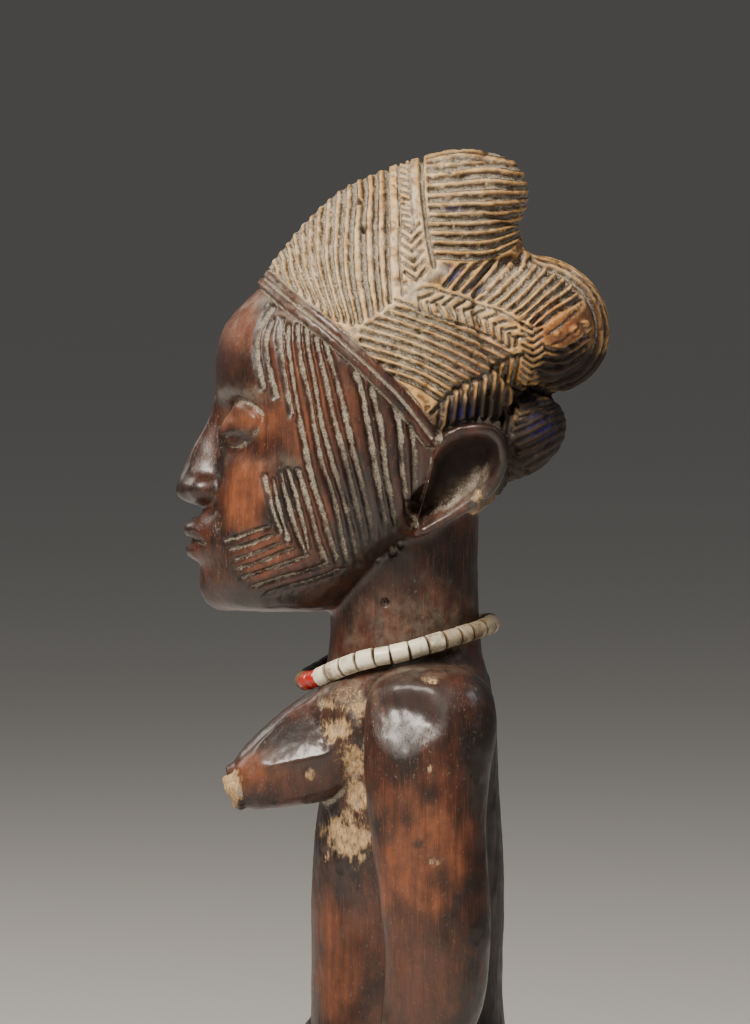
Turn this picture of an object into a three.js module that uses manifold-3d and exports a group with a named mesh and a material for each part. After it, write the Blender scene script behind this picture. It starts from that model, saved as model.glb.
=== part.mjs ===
// An ibeji: a carved twin figure of a standing woman with a high plaited coiffure. Figure and low round
// plinth are cut from one billet of hardwood, and a string of small glass beads lies round the neck.
//
// Millimetres, +Z up. The figure faces -Y and its left side is at +X. The origin is the middle of the
// plinth's underside. Carved forms are drawn for a figure DRAWN_HEIGHT tall, from the soles up, and keep
// their proportions when FIGURE_HEIGHT changes.

import * as THREE from 'three';
import { mergeVertices } from 'three/addons/utils/BufferGeometryUtils.js';
import Module from 'manifold-3d';

const wasm = await Module();
wasm.setup();
const { Manifold, Mesh } = wasm;

// Driving dimensions
const FIGURE_HEIGHT = 275; // soles to the top of the coiffure
const PLINTH_RADIUS = 33;
const PLINTH_HEIGHT = 10;
const PLINTH_EDGE = 1.5; // worn round on the plinth's upper and lower edge
const NECK_HALF_WIDTH = 14.5;
const NECK_HALF_DEPTH = 16.2;
const NECKLACE_SLACK = 2.2; // how far the beads hang clear of the neck, on average
const NECKLACE_FORWARD = 1.6; // how far the loop's middle lies in front of the neck's
const NECKLACE_DROP = 7.2; // how far it hangs in front below the beads that lie on the shoulders
const NECKLACE_RISE = 5.3; // how far it rises behind above them
const BEAD_DIAMETER = 4.3;
const BEAD_LENGTH = 3.5;
const BEAD_BORE = 1.8;
const BEAD_GAP = 0.3;
const STRING_DIAMETER = 1;
const TOUCH_GAP = 0.3; // left between pieces that lie on each other
const HAIR_RELIEF = 1; // from the floor of a groove in the coiffure to its ridges
const MARK_RELIEF = 0.6; // from the floor of a face mark to the skin beside it
const HAIR_GROOVE_WIDTH = 1.3;
const MARK_WIDTH = 1.3;
const HAIRLINE_BAND_WIDTH = 3.4;
const HAIRLINE_BAND_RISE = 0.9;
const GROOVE_RISE = 0.5; // how far the floor of a hair groove stands off the blank
const MARK_FLOOR = 0.3; // how far the floor of a face mark stands off the blank
const RIM_SINK = 0.5; // how deep a carved panel's rim and the band's foot go under the surface
const PANEL_DEPTH = 1.6; // how deep a carved panel's underside goes
const GOUGE_LIFT = 0.5; // how far a gouge's cutter stands out of the surface

const DRAWN_HEIGHT = 275;
const scale = FIGURE_HEIGHT / DRAWN_HEIGHT;

// Materials
const finish = (name, color, roughness) =>
  new THREE.MeshStandardMaterial({ name, color, roughness, metalness: 0 });
const finishes = {
  wood: finish('wood', 0x4a2416, 0.42),
  white: finish('white_glass', 0xcfc8b8, 0.45),
  red: finish('red_glass', 0xb3170f, 0.3),
  brown: finish('brown_bead', 0x6b5234, 0.7),
  dark: finish('dark_glass', 0x14120f, 0.4),
  string: finish('string', 0x5d4a35, 0.9),
};

// Solids and surfaces

// A closed geometry as a solid, with its faces turned outward.
function solid(geometry) {
  const bare = geometry.clone();
  bare.deleteAttribute('normal');
  bare.deleteAttribute('uv');
  const merged = mergeVertices(bare, 1e-4);
  const points = merged.attributes.position.array;
  const corners = merged.index ? merged.index.array : points.map((_, i) => i);
  const triangles = [];
  for (let i = 0; i < corners.length; i += 3) {
    const [a, b, c] = [corners[i], corners[i + 1], corners[i + 2]];
    if (a !== b && b !== c && c !== a) triangles.push(a, b, c);
  }
  if (signedVolume(points, triangles) < 0) triangles.reverse();
  return new Manifold(new Mesh({
    numProp: 3,
    vertProperties: new Float32Array(points),
    triVerts: new Uint32Array(triangles),
  }));
}

function signedVolume(points, triangles) {
  const corner = (i) => new THREE.Vector3().fromArray(points, 3 * i);
  let volume = 0;
  for (let i = 0; i < triangles.length; i += 3) {
    const [a, b, c] = [corner(triangles[i]), corner(triangles[i + 1]), corner(triangles[i + 2])];
    volume += a.dot(b.cross(c)) / 6;
  }
  return volume;
}

function geometryOf(body) {
  const mesh = body.getMesh();
  const geometry = new THREE.BufferGeometry();
  geometry.setAttribute('position', new THREE.BufferAttribute(new Float32Array(mesh.vertProperties), 3));
  geometry.setIndex(new THREE.BufferAttribute(new Uint32Array(mesh.triVerts), 1));
  geometry.computeVertexNormals();
  return geometry;
}

const union = (bodies) => bodies.reduce((whole, body) => whole.add(body));

// The chips that crossing cuts leave loose fall away.
const largest = (body) => body.decompose().reduce((a, b) => (a.volume() > b.volume() ? a : b));

// A closed skin through rings of equally many points.
function skin(rings) {
  const around = rings[0].length;
  const positions = rings.flat().flatMap((p) => [p.x, p.y, p.z]);
  const indices = [];
  for (let i = 0; i + 1 < rings.length; i++) {
    for (let j = 0; j < around; j++) {
      const [a, b] = [i * around + j, i * around + ((j + 1) % around)];
      indices.push(a, b, b + around, a, b + around, a + around);
    }
  }
  const last = (rings.length - 1) * around;
  for (let j = 1; j + 1 < around; j++) {
    indices.push(0, j + 1, j);
    indices.push(last, last + j, last + j + 1);
  }
  const geometry = new THREE.BufferGeometry();
  geometry.setAttribute('position', new THREE.Float32BufferAttribute(positions, 3));
  geometry.setIndex(indices);
  return geometry;
}

// Row t of a table, with t from 0 to its last row, on a smooth curve through all the rows.
function rowAt(table, t) {
  const i = Math.min(Math.floor(t), table.length - 2);
  const u = t - i;
  const row = (k) => table[THREE.MathUtils.clamp(k, 0, table.length - 1)];
  return table[0].map((_, column) => {
    const [a, b, c, d] = [i - 1, i, i + 1, i + 2].map((k) => row(k)[column]);
    const [slope, bend, twist] = [c - a, 2 * a - 5 * b + 4 * c - d, 3 * b - a - 3 * c + d];
    return b + 0.5 * (slope * u + bend * u ** 2 + twist * u ** 3);
  });
}

const signedPower = (value, power) => Math.sign(value) * Math.abs(value) ** power;

// A form of level sections. Each row of stations is [height, centre x, front y, back y, widest y,
// half width, squareness], where squareness 2 is an ellipse and more is boxier.
function form(stations, around, steps) {
  const rings = [];
  for (let i = 0; i <= steps; i++) {
    const row = rowAt(stations, (i / steps) * (stations.length - 1));
    const [height, x, front, back, widest, halfWidth, squareness] = row;
    const ring = [];
    for (let j = 0; j < around; j++) {
      const angle = (2 * Math.PI * j) / around;
      const across = signedPower(Math.cos(angle), 2 / squareness);
      const along = signedPower(Math.sin(angle), 2 / squareness);
      const reach = along < 0 ? widest - front : back - widest;
      ring.push(new THREE.Vector3(x + halfWidth * across, widest + reach * along, height));
    }
    rings.push(ring);
  }
  return solid(skin(rings).scale(scale, scale, scale));
}

// An ellipsoid, turned about X by tilt degrees.
function knob([x, y, z], [radiusX, radiusY, radiusZ], around = 16, levels = 10, tilt = 0) {
  const geometry = new THREE.SphereGeometry(1, around, levels);
  geometry.rotateX(Math.PI / 2);
  geometry.scale(radiusX, radiusY, radiusZ);
  geometry.rotateX(THREE.MathUtils.degToRad(tilt));
  geometry.translate(x, y, z);
  return solid(geometry.scale(scale, scale, scale));
}

// An ellipsoid whose ridges lie one beside another like rings about its own axis. The axis leans back
// from +Z by tilt degrees.
function ringedKnob([x, y, z], [radiusX, radiusY, radiusZ], ridges, around, tilt) {
  const profile = [new THREE.Vector2(0, -1)];
  for (let i = 1; i < 2 * ridges; i++) {
    const angle = Math.PI * (i / (2 * ridges) - 0.5);
    const radius = i % 2 ? 1 : 1 - HAIR_RELIEF / radiusZ;
    profile.push(new THREE.Vector2(radius * Math.cos(angle), radius * Math.sin(angle)));
  }
  profile.push(new THREE.Vector2(0, 1));
  const geometry = new THREE.LatheGeometry(profile, around);
  geometry.rotateX(Math.PI / 2);
  geometry.rotateX(THREE.MathUtils.degToRad(tilt));
  geometry.scale(radiusX, radiusY, radiusZ);
  geometry.translate(x, y, z);
  return solid(geometry.scale(scale, scale, scale));
}

const mirrored = (body) => body.mirror([1, 0, 0]);
const pair = (body) => [body, mirrored(body)];

// Body

function plinth() {
  const [radius, edge] = [PLINTH_RADIUS, PLINTH_EDGE];
  const profile = [
    [0, -PLINTH_HEIGHT], [radius - edge, -PLINTH_HEIGHT], [radius, edge - PLINTH_HEIGHT],
    [radius, -edge], [radius - edge, 0], [0, 0],
  ];
  const geometry = new THREE.LatheGeometry(profile.map(([x, y]) => new THREE.Vector2(x, y)), 24);
  return solid(geometry.rotateX(Math.PI / 2));
}

function legs() {
  const leg = form([
    [-1.5, 11.8, -7, 9.5, 1, 7.8, 2.4],
    [12, 11.8, -7, 9.8, 1, 7.8, 2.3],
    [24, 12, -9.5, 13, 0, 9.3, 2.2],
    [37, 12.2, -13, 12, -1, 9.8, 2.2],
    [48, 12, -14.5, 17, 0, 11, 2.2],
    [62, 11, -15, 22, 2, 12.5, 2.2],
  ], 10, 5);
  const foot = form([
    [-1.5, 12.6, -25.5, 11, -11, 9, 2.8],
    [3.5, 12.6, -24.5, 11.2, -11, 8.8, 2.6],
    [6.5, 12.5, -18.5, 11, -8, 8.4, 2.4],
    [11, 12.2, -10.5, 10.4, -3, 8, 2.3],
    [17, 12, -7.5, 10, 0, 7.6, 2.3],
  ], 12, 4);
  return [...pair(leg), ...pair(foot), ...pair(knob([10.5, 12.8, 66], [12, 11.2, 14], 12, 6))];
}

function torso() {
  const trunk = form([
    [50, 0, -10, 14, 2, 15, 2.2],
    [60, 0, -17, 20, 2, 22.5, 2.3],
    [73, 0, -20.5, 23, 2, 24.5, 2.3],
    [88, 0, -20.5, 21.7, 2, 22, 2.4],
    [101, 0, -20.4, 21.7, 2, 20.5, 2.4],
    [113, 0, -20.4, 22, 2, 20.5, 2.4],
    [126, 0, -19.6, 21.5, 2, 22.5, 2.4],
    [139, 0, -18, 20.5, 2, 25.5, 2.4],
    [150, 0, -17, 20, 2, 27.5, 2.4],
    [158, 0, -16.5, 18.8, 2, 25, 2.3],
    [164, 0, -15.5, 17.3, 1, 18, 2.2],
    [168, 0, -14, 16, 0, 14, 2.1],
  ], 14, 8);
  return [trunk, ...pair(breast())];
}

const BREAST_ROOT = [11, -6, 151];
const BREAST_TIP = [14, -37.2, 137.3];
const BREAST_PROFILE = [
  [0, 0], [12.4, 0.05], [11.6, 0.36], [9.6, 0.66], [6.4, 0.94], [4, 1.02], [3.6, 1.1], [0, 1.11],
];

// The breast is a cone in BREAST_PROFILE's radii, with heights as shares of the way from root to tip.
function breast() {
  const root = new THREE.Vector3(...BREAST_ROOT);
  const tip = new THREE.Vector3(...BREAST_TIP);
  const length = root.distanceTo(tip);
  const points = BREAST_PROFILE.map(([radius, share]) => new THREE.Vector2(radius, share * length));
  const geometry = new THREE.LatheGeometry(points, 9);
  const turn = new THREE.Quaternion().setFromUnitVectors(
    new THREE.Vector3(0, 1, 0), tip.clone().sub(root).normalize());
  geometry.applyQuaternion(turn).translate(root.x, root.y, root.z);
  return solid(geometry.scale(scale, scale, scale));
}

function arms() {
  const arm = form([
    [164.5, 23, -1, 12, 6, 6, 2.1],
    [160.5, 26, -7.5, 18, 6, 10, 2.2],
    [152, 28.5, -8.9, 19.6, 6, 10.3, 2.3],
    [140, 30, -8.6, 17.8, 5, 9.6, 2.3],
    [128, 30.6, -7.3, 17.2, 5, 9.2, 2.3],
    [116, 31, -5.7, 18, 6, 9, 2.3],
    [104, 31, -4.5, 18, 6.5, 8.6, 2.3],
    [92, 30.2, -5, 16.5, 6, 7.8, 2.2],
    [80, 28.8, -7, 11.5, 3, 6.2, 2.2],
    [74, 28, -9.5, 9.5, 0, 5.5, 2.3],
    [62, 27.2, -11.5, 7, -2, 5.1, 2.5],
    [53, 26.4, -10, 2.5, -4, 4.3, 2.5],
    [50, 25.6, -8, 0, -4, 2.5, 2.3],
  ], 8, 8);
  return pair(arm);
}

const NECK = { foot: 155, top: 200 };

function neck() {
  const [width, depth] = [NECK_HALF_WIDTH / scale, NECK_HALF_DEPTH / scale];
  return form([
    [NECK.foot, 0, -depth - 3, depth + 2.5, 0, width + 5, 2.1],
    [163, 0, -depth - 0.8, depth + 1, 0, width + 1.4, 2.1],
    [171, 0, -depth, depth, 0, width, 2.1],
    [184, 0, -depth - 0.6, depth - 0.3, 0, width + 0.2, 2.1],
    [NECK.top, 0, -depth - 1, depth, 0, width + 0.6, 2.1],
  ], 14, 3);
}

// Head

function skull() {
  return form([
    [175, 0, -38, -15, -26, 7, 2],
    [176.6, 0, -42.5, -12, -24, 12, 2.1],
    [181, 0, -44.3, -8, -20, 16.5, 2.2],
    [187, 0, -44, -2, -16, 20, 2.2],
    [194, 0, -43, 7, -11, 23, 2.2],
    [201, 0, -41.5, 16, -7, 25, 2.2],
    [209, 0, -40.5, 22, -4, 26.2, 2.2],
    [218, 0, -40.2, 25, -3, 27, 2.2],
    [228, 0, -41.3, 27, -2, 27, 2.15],
    [237, 0, -39, 27, -1, 25.8, 2.1],
    [245.5, 0, -31.2, 26, 1, 23, 2],
    [252, 0, -26.2, 25, 3, 19.7, 2],
    [259, 0, -20.2, 23, 5, 15.8, 2],
    [265.5, 0, -12.8, 21, 8, 12, 2],
    [270.5, 0, -3.5, 20, 11, 8.5, 2],
    [273.6, 0, 6, 19, 14, 4.8, 2],
    [274.8, 0, 12, 18, 15, 2, 2],
  ], 20, 12);
}

// The crest is a knob whose ridges run front to back, at equal turns about a level axis.
const CREST = {
  centre: [0, 13, 263.3],
  radii: [11.3, 13.6, 11.2],
  ridges: 19,
  axisDrop: 3.3, // how far the axis lies below the centre
  lastTurn: 112, // degrees from the top to the last ridge on each side
  places: [5.6, 7.2, 15, 22, 25.4], // along a ridge, as y
};

// The coiffure's tiers behind the front panel: the crest, a bunch behind each ear with one between them,
// and the nape.
function hairBunches() {
  return [
    knob(CREST.centre, CREST.radii, 12, 6),
    ringedKnob([0, 29.5, 237], [10, 15.5, 16], 7, 10, 90),
    ...pair(ringedKnob([12.5, 25.5, 237.5], [11.6, 15, 13.6], 8, 9, -50)),
    ringedKnob([0, 21.5, 213], [17.5, 13.6, 10.6], 6, 10, 30),
  ];
}

// The face is a general one, set out by the usual thirds: hairline to brow, brow to the base of the
// nose, base of the nose to chin. The mouth lies a third of the way down the last.
const FACE = { hairline: 245, chin: 175 };
const FACE_THIRD = (FACE.hairline - FACE.chin) / 3;
const BROW_HEIGHT = FACE.hairline - FACE_THIRD;
const NOSE_BASE_HEIGHT = BROW_HEIGHT - FACE_THIRD;
const MOUTH_HEIGHT = NOSE_BASE_HEIGHT - FACE_THIRD / 3;
const EYE_HEIGHT = BROW_HEIGHT - FACE_THIRD / 4;
const EYE_SPREAD = 12;

function faceFeatures() {
  const nose = form([
    [NOSE_BASE_HEIGHT, 0, -47.5, -36, -42, 7, 2],
    [NOSE_BASE_HEIGHT + 2.2, 0, -50.3, -36, -42.5, 8, 2],
    [NOSE_BASE_HEIGHT + 5.5, 0, -50, -36, -42, 6.6, 2],
    [NOSE_BASE_HEIGHT + 13, 0, -46.8, -36, -39, 4.2, 2],
    [BROW_HEIGHT, 0, -43, -36, -38, 3.4, 2],
    [BROW_HEIGHT + 5, 0, -41, -36, -38, 3, 2],
  ], 8, 5);
  return [
    nose,
    knob([0, -43.8, MOUTH_HEIGHT + 2.1], [9, 5, 2.7], 8, 5),
    knob([0, -43.3, MOUTH_HEIGHT - 2.3], [8, 4.9, 2.7], 8, 5),
    knob([0, -39, 180], [7.5, 6.5, 5], 8, 5),
    ...pair(knob([EYE_SPREAD, -33.8, EYE_HEIGHT], [8.6, 4.6, 4.8], 10, 5)),
  ];
}

const eyeSocket = () => knob([EYE_SPREAD, -40.4, EYE_HEIGHT], [10.4, 6, 7], 10, 5);

// The ear's outline is drawn in its own plane, as [back, up] from the front of its root.
const EAR_ROOT = [2, 194];
const EAR_OUTLINE = [[0, 0], [10, 5], [17, 12], [19.5, 19], [15, 23.6], [5, 21.6], [4, 10]];
const EAR_HOLLOW = [[6.4, 6.2], [15, 13.4], [16.2, 19.6], [7.4, 19], [8.6, 11.4]];
const EAR_INSIDE_X = 12;
const EAR_OUTSIDE_X = 29; // at EAR_TOP_HEIGHT above the root
const EAR_TOP_HEIGHT = 23.6;
const EAR_FLARE = 0.2; // how far it leans out for each millimetre up
const EAR_HOLLOW_DEPTH = 4;

function earPlate(outline, from, to) {
  const shape = new THREE.Shape();
  shape.moveTo(...outline[0]);
  shape.splineThru([...outline.slice(1), outline[0]].map(([u, v]) => new THREE.Vector2(u, v)));
  const extent = { depth: to - from, bevelEnabled: false, curveSegments: 2 };
  const geometry = new THREE.ExtrudeGeometry(shape, extent);
  const axes = new THREE.Matrix4().makeBasis(
    new THREE.Vector3(0, 1, 0), new THREE.Vector3(0, 0, 1), new THREE.Vector3(1, 0, 0));
  geometry.applyMatrix4(axes);
  geometry.applyMatrix4(new THREE.Matrix4().makeShear(0, 0, 0, 0, EAR_FLARE, 0));
  geometry.translate(from - EAR_FLARE * EAR_TOP_HEIGHT, ...EAR_ROOT);
  return solid(geometry.scale(scale, scale, scale));
}

function ears() {
  const plate = earPlate(EAR_OUTLINE, EAR_INSIDE_X, EAR_OUTSIDE_X);
  const hollow = earPlate(EAR_HOLLOW, EAR_OUTSIDE_X - EAR_HOLLOW_DEPTH, EAR_OUTSIDE_X + 1);
  return pair(plate.subtract(hollow));
}

// Carving. Places on the blank are found by looking from outside towards a core point.

const HEAD_CORE = new THREE.Vector3(0, 2, 216).multiplyScalar(scale);
const FAR = 150 * scale;

function surfaceOf(body) {
  const { attributes, index } = geometryOf(body);
  return { points: attributes.position.array, normals: attributes.normal.array, index: index.array };
}

const triangle = [new THREE.Vector3(), new THREE.Vector3(), new THREE.Vector3()];
const ray = new THREE.Ray();
const hit = new THREE.Vector3();

// Where a ray first meets the surface, with the rounded normal there, or null.
function firstHit(surface, origin, direction) {
  ray.set(origin, direction);
  let best = null;
  for (let i = 0; i < surface.index.length; i += 3) {
    for (let k = 0; k < 3; k++) triangle[k].fromArray(surface.points, 3 * surface.index[i + k]);
    if (!ray.intersectTriangle(...triangle, true, hit)) continue;
    const distance = hit.distanceTo(origin);
    if (best && best.distance <= distance) continue;
    best = { distance, point: hit.clone(), face: i };
    best.share = THREE.Triangle.getBarycoord(hit, ...triangle, new THREE.Vector3());
  }
  if (!best) return null;
  const normal = new THREE.Vector3();
  best.share.toArray().forEach((share, k) => {
    const corner = new THREE.Vector3().fromArray(surface.normals, 3 * surface.index[best.face + k]);
    normal.addScaledVector(corner, share);
  });
  return { point: best.point, normal: normal.normalize() };
}

const towards = (surface, core, direction) =>
  firstHit(surface, core.clone().addScaledVector(direction, FAR), direction.clone().negate());

// The direction from the head's core to a place on its middle line, given as [y, z].
const middleDirection = ([y, z]) =>
  new THREE.Vector3(0, y * scale, z * scale).sub(HEAD_CORE).normalize();

// The direction from the head's core to a place on its left side, given as [y, z] seen from there.
function sideDirection(surface, [y, z]) {
  const origin = new THREE.Vector3(FAR, y * scale, z * scale);
  const found = firstHit(surface, origin, new THREE.Vector3(-1, 0, 0));
  return found ? found.point.sub(HEAD_CORE).normalize() : middleDirection([y, z]);
}

// A path over the head through directions, with a place at each share of its length.
function headPath(surface, directions, shares) {
  const curve = new THREE.CatmullRomCurve3(directions);
  return shares.map((share) => towards(surface, HEAD_CORE, curve.getPointAt(share).normalize()));
}

const evenShares = (steps) => Array.from({ length: steps + 1 }, (_, i) => i / steps);

// Shares of a path with its two ends set close, where the carving dives under the surface.
const rimmedShares = (steps) => [0, ...evenShares(steps).map((share) => 0.05 + 0.9 * share), 1];

// A closed slab between an outer and an inner grid of points.
function slab(outer, inner) {
  const [columns, rows] = [outer.length, outer[0].length];
  const positions = [...outer, ...inner].flat().flatMap((p) => [p.x, p.y, p.z]);
  const upper = (i, j) => i * rows + j;
  const lower = (i, j) => columns * rows + upper(i, j);
  const indices = [];
  const quad = (a, b, c, d) => indices.push(a, b, c, a, c, d);
  for (let i = 0; i + 1 < columns; i++) {
    for (let j = 0; j + 1 < rows; j++) {
      quad(upper(i, j), upper(i + 1, j), upper(i + 1, j + 1), upper(i, j + 1));
      quad(lower(i, j), lower(i, j + 1), lower(i + 1, j + 1), lower(i + 1, j));
    }
    quad(upper(i, 0), lower(i, 0), lower(i + 1, 0), upper(i + 1, 0));
    quad(upper(i + 1, rows - 1), lower(i + 1, rows - 1), lower(i, rows - 1), upper(i, rows - 1));
  }
  for (let j = 0; j + 1 < rows; j++) {
    quad(upper(0, j + 1), lower(0, j + 1), lower(0, j), upper(0, j));
    const end = columns - 1;
    quad(upper(end, j), lower(end, j), lower(end, j + 1), upper(end, j + 1));
  }
  const geometry = new THREE.BufferGeometry();
  geometry.setAttribute('position', new THREE.Float32BufferAttribute(positions, 3));
  geometry.setIndex(indices);
  return solid(geometry);
}

// A panel of ridges and grooves over a surface. Each column is a path of equally many places and stands
// out by its own rise. The rim dives under the surface all round, and inside it a pocket is cut first.
function panel(columns, rises) {
  const raise = (path, rise) => path.map(({ point, normal }) => point.clone().addScaledVector(normal, rise));
  const outer = columns.map((path, i) => path.map(({ point, normal }, j) => {
    const atRim = j === 0 || j === path.length - 1;
    return point.clone().addScaledVector(normal, atRim ? -RIM_SINK : rises[i]);
  }));
  const relief = slab(outer, columns.map((path) => raise(path, -PANEL_DEPTH)));
  const inside = columns.slice(1, -1).filter((_, i, all) => i % 4 === 0 || i === all.length - 1)
    .map((path) => path.slice(1, -1));
  const pocket = slab(
    inside.map((path) => raise(path, PANEL_DEPTH)), inside.map((path) => raise(path, -PANEL_DEPTH / 2)));
  return { relief, pocket };
}

const bothSides = ({ relief, pocket }) => [
  { relief, pocket },
  { relief: mirrored(relief), pocket: mirrored(pocket) },
];

// The rises of a panel's columns: a sunk rim, then ridges with a groove between each two, and a rim.
function ridgeRises(ridges) {
  const rises = [-RIM_SINK];
  for (let i = 0; i < ridges; i++) rises.push(GROOVE_RISE + HAIR_RELIEF, GROOVE_RISE);
  rises[rises.length - 1] = -RIM_SINK;
  return rises;
}

const reflected = ({ point, normal }) => ({
  point: new THREE.Vector3(-point.x, point.y, point.z),
  normal: new THREE.Vector3(-normal.x, normal.y, normal.z),
});

const mix = ([a, b], [c, d], share) => [a + (c - a) * share, b + (d - b) * share];

// A place at a share of the way along a polyline of [y, z] corners, or past its ends.
function along(corners, share) {
  const t = share * (corners.length - 1);
  const i = THREE.MathUtils.clamp(Math.floor(t), 0, corners.length - 2);
  return mix(corners[i], corners[i + 1], t - i);
}

// Landmarks of the coiffure on the left side, as [y, z]
const HAIRLINE = [[-31.5, 245.5], [-22.8, 239.3], [-12, 231.3], [-1.1, 221], [7.5, 212.5]];
const HAIR_OUTLINE = [[-29.5, 248.2], [-22.8, 256.3], [-12, 266.2], [-1.7, 271.3], [1.5, 273]];
const FRONT_FOOT = [[-27.5, 243.8], [-12, 233.4], [-6, 238], [0, 244], [4, 247.5]];

// The front panel's ridges run from one side of the hairline over the top to the other side.
function frontPanel(surface) {
  const rises = ridgeRises(13);
  const columns = rises.map((_, i) => {
    const share = i / (rises.length - 1);
    const [top, foot] = [along(HAIR_OUTLINE, share), along(FRONT_FOOT, share)];
    const side = [foot, mix(foot, top, 0.5)].map((place) => sideDirection(surface, place));
    const half = headPath(surface, [...side, middleDirection(top)], [0, 0.07, 0.4, 0.7, 1]);
    return [...half, ...half.slice(0, -1).reverse().map(reflected)];
  });
  return [panel(columns, rises)];
}

// The long marks run from the hairline to the jaw in pairs.
const MARK_HEADS = [[-28.5, 238], [-20, 233], [-10, 225.5], [0.5, 215.5]];
const MARK_FEET = [[-25, 191], [-17, 187], [-9, 187], [1.5, 193.5]];
const MARK_PAIRS = 6;
const PAIR_SHARES = [0.25, 0.45, 0.65, 1]; // a groove, a ridge, a groove and a ridge

function longMarks(surface) {
  const shares = [-0.02, 0];
  const rises = [-RIM_SINK, MARK_FLOOR + MARK_RELIEF];
  for (let i = 0; i < MARK_PAIRS; i++) {
    shares.push(...PAIR_SHARES.map((share) => (i + share) / MARK_PAIRS));
    rises.push(...PAIR_SHARES.map((_, k) => MARK_FLOOR + MARK_RELIEF * (k % 2)));
  }
  shares.push(1.02);
  rises.push(-RIM_SINK);
  const columns = shares.map((share) => {
    const [head, foot] = [along(MARK_HEADS, share), along(MARK_FEET, share)];
    const directions = [head, mix(head, foot, 0.5), foot].map((place) => sideDirection(surface, place));
    return headPath(surface, directions, rimmedShares(2));
  });
  return bothSides(panel(columns, rises));
}

function crestPanel(surface) {
  const rises = ridgeRises(CREST.ridges);
  const axisHeight = CREST.centre[2] - CREST.axisDrop;
  const columns = rises.map((_, i) => {
    const turn = THREE.MathUtils.degToRad(CREST.lastTurn * ((2 * i) / (rises.length - 1) - 1));
    const direction = new THREE.Vector3(Math.sin(turn), 0, Math.cos(turn));
    return CREST.places.map((y) =>
      towards(surface, new THREE.Vector3(0, y, axisHeight).multiplyScalar(scale), direction));
  });
  return [panel(columns, rises)];
}

// A family of lines from one edge to another, both polylines of [y, z].
function ruledLines(surface, fromEdge, toEdge, count, steps) {
  return Array.from({ length: count }, (_, i) => {
    const share = (i + 0.5) / count;
    const [from, to] = [along(fromEdge, share), along(toEdge, share)];
    const directions = [from, mix(from, to, 0.5), to].map((place) => sideDirection(surface, place));
    return headPath(surface, directions, evenShares(steps));
  });
}

// Panels on both sides whose ridges run from one edge to another, both polylines of [y, z].
function ruledPanels(surface, fromEdge, toEdge, ridges, steps) {
  const rises = ridgeRises(ridges);
  const columns = rises.map((_, i) => {
    const share = i / (rises.length - 1);
    const [from, to] = [along(fromEdge, share), along(toEdge, share)];
    const directions = [from, mix(from, to, 0.5), to].map((place) => sideDirection(surface, place));
    return headPath(surface, directions, rimmedShares(steps));
  });
  return bothSides(panel(columns, rises));
}

const sidePanels = (surface) =>
  ruledPanels(surface, [[-4.5, 240.5], [-8.5, 232.5], [5, 219]], [[24, 236], [21, 230], [9, 220.4]], 8, 2);

const plaitLines = (surface) =>
  ruledLines(surface, [[8, 217.5], [22.5, 226.5]], [[9, 215], [20.5, 217]], 5, 1);

const cheekLines = (surface) =>
  ruledLines(surface, [[-37.8, 192], [-30.5, 177.5]], [[-28, 194.5], [-15, 182]], 6, 1);

// A V-shaped gouge that runs out at both ends.
function gouge(path, width, depth) {
  const top = (width / 2) * (1 + GOUGE_LIFT / depth);
  const section = [[-top, GOUGE_LIFT], [top, GOUGE_LIFT], [0, -depth]];
  const ends = [0, path.length - 1];
  const raised = path.map(({ point, normal }, i) =>
    ({ point: point.clone().addScaledVector(normal, ends.includes(i) ? 0.6 * depth : 0), normal }));
  return strip(raised, section);
}

const gouges = (paths, width, depth) => paths.flatMap((path) => pair(gouge(path, width, depth)));

// A raised band with bevelled sides along the hairline, in two halves that meet above the brow.
function hairlineBand(surface) {
  const [front, ...side] = HAIRLINE;
  const directions = [middleDirection(front), ...side.map((place) => sideDirection(surface, place))];
  const path = headPath(surface, directions, evenShares(8));
  const half = HAIRLINE_BAND_WIDTH / 2;
  const section = [
    [-half - 0.4, -RIM_SINK], [half + 0.4, -RIM_SINK],
    [half - 0.3, HAIRLINE_BAND_RISE], [-half + 0.3, HAIRLINE_BAND_RISE],
  ];
  return [strip(path, section), strip(path.map(reflected), section)];
}

// A strip of constant section along a path. The section's points are [across, out], in millimetres.
function strip(path, section) {
  const rings = path.map(({ point, normal }, i) => {
    const before = path[Math.max(i - 1, 0)].point;
    const after = path[Math.min(i + 1, path.length - 1)].point;
    const across = after.clone().sub(before).cross(normal).normalize();
    return section.map(([a, out]) => point.clone().addScaledVector(across, a).addScaledVector(normal, out));
  });
  return solid(skin(rings));
}

function figure() {
  const sockets = pair(eyeSocket());
  const head = union([skull(), neck()]).subtract(sockets[0]).subtract(sockets[1]);
  const blank = union([
    plinth(), ...legs(), ...torso(), ...arms(), head, ...faceFeatures(), ...ears(), ...hairBunches(),
  ]);
  const surface = surfaceOf(blank);
  const panels = [
    ...frontPanel(surface), ...crestPanel(surface), ...sidePanels(surface), ...longMarks(surface),
  ];
  const cuts = [
    ...panels.map(({ pocket }) => pocket),
    ...gouges(plaitLines(surface), HAIR_GROOVE_WIDTH, HAIR_RELIEF),
    ...gouges(cheekLines(surface), MARK_WIDTH, MARK_RELIEF),
  ];
  return largest(union([
    blank.subtract(union(cuts)), ...panels.map(({ relief }) => relief), ...hairlineBand(surface),
  ]));
}

const whole = new THREE.Group();
const standing = new THREE.Group();
standing.position.z = PLINTH_HEIGHT;
whole.add(standing);

function place(name, geometry, material) {
  const mesh = new THREE.Mesh(geometry, material);
  mesh.name = name;
  standing.add(mesh);
  return mesh;
}

const body = figure();
place('figure', geometryOf(body), finishes.wood);

// Necklace

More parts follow.
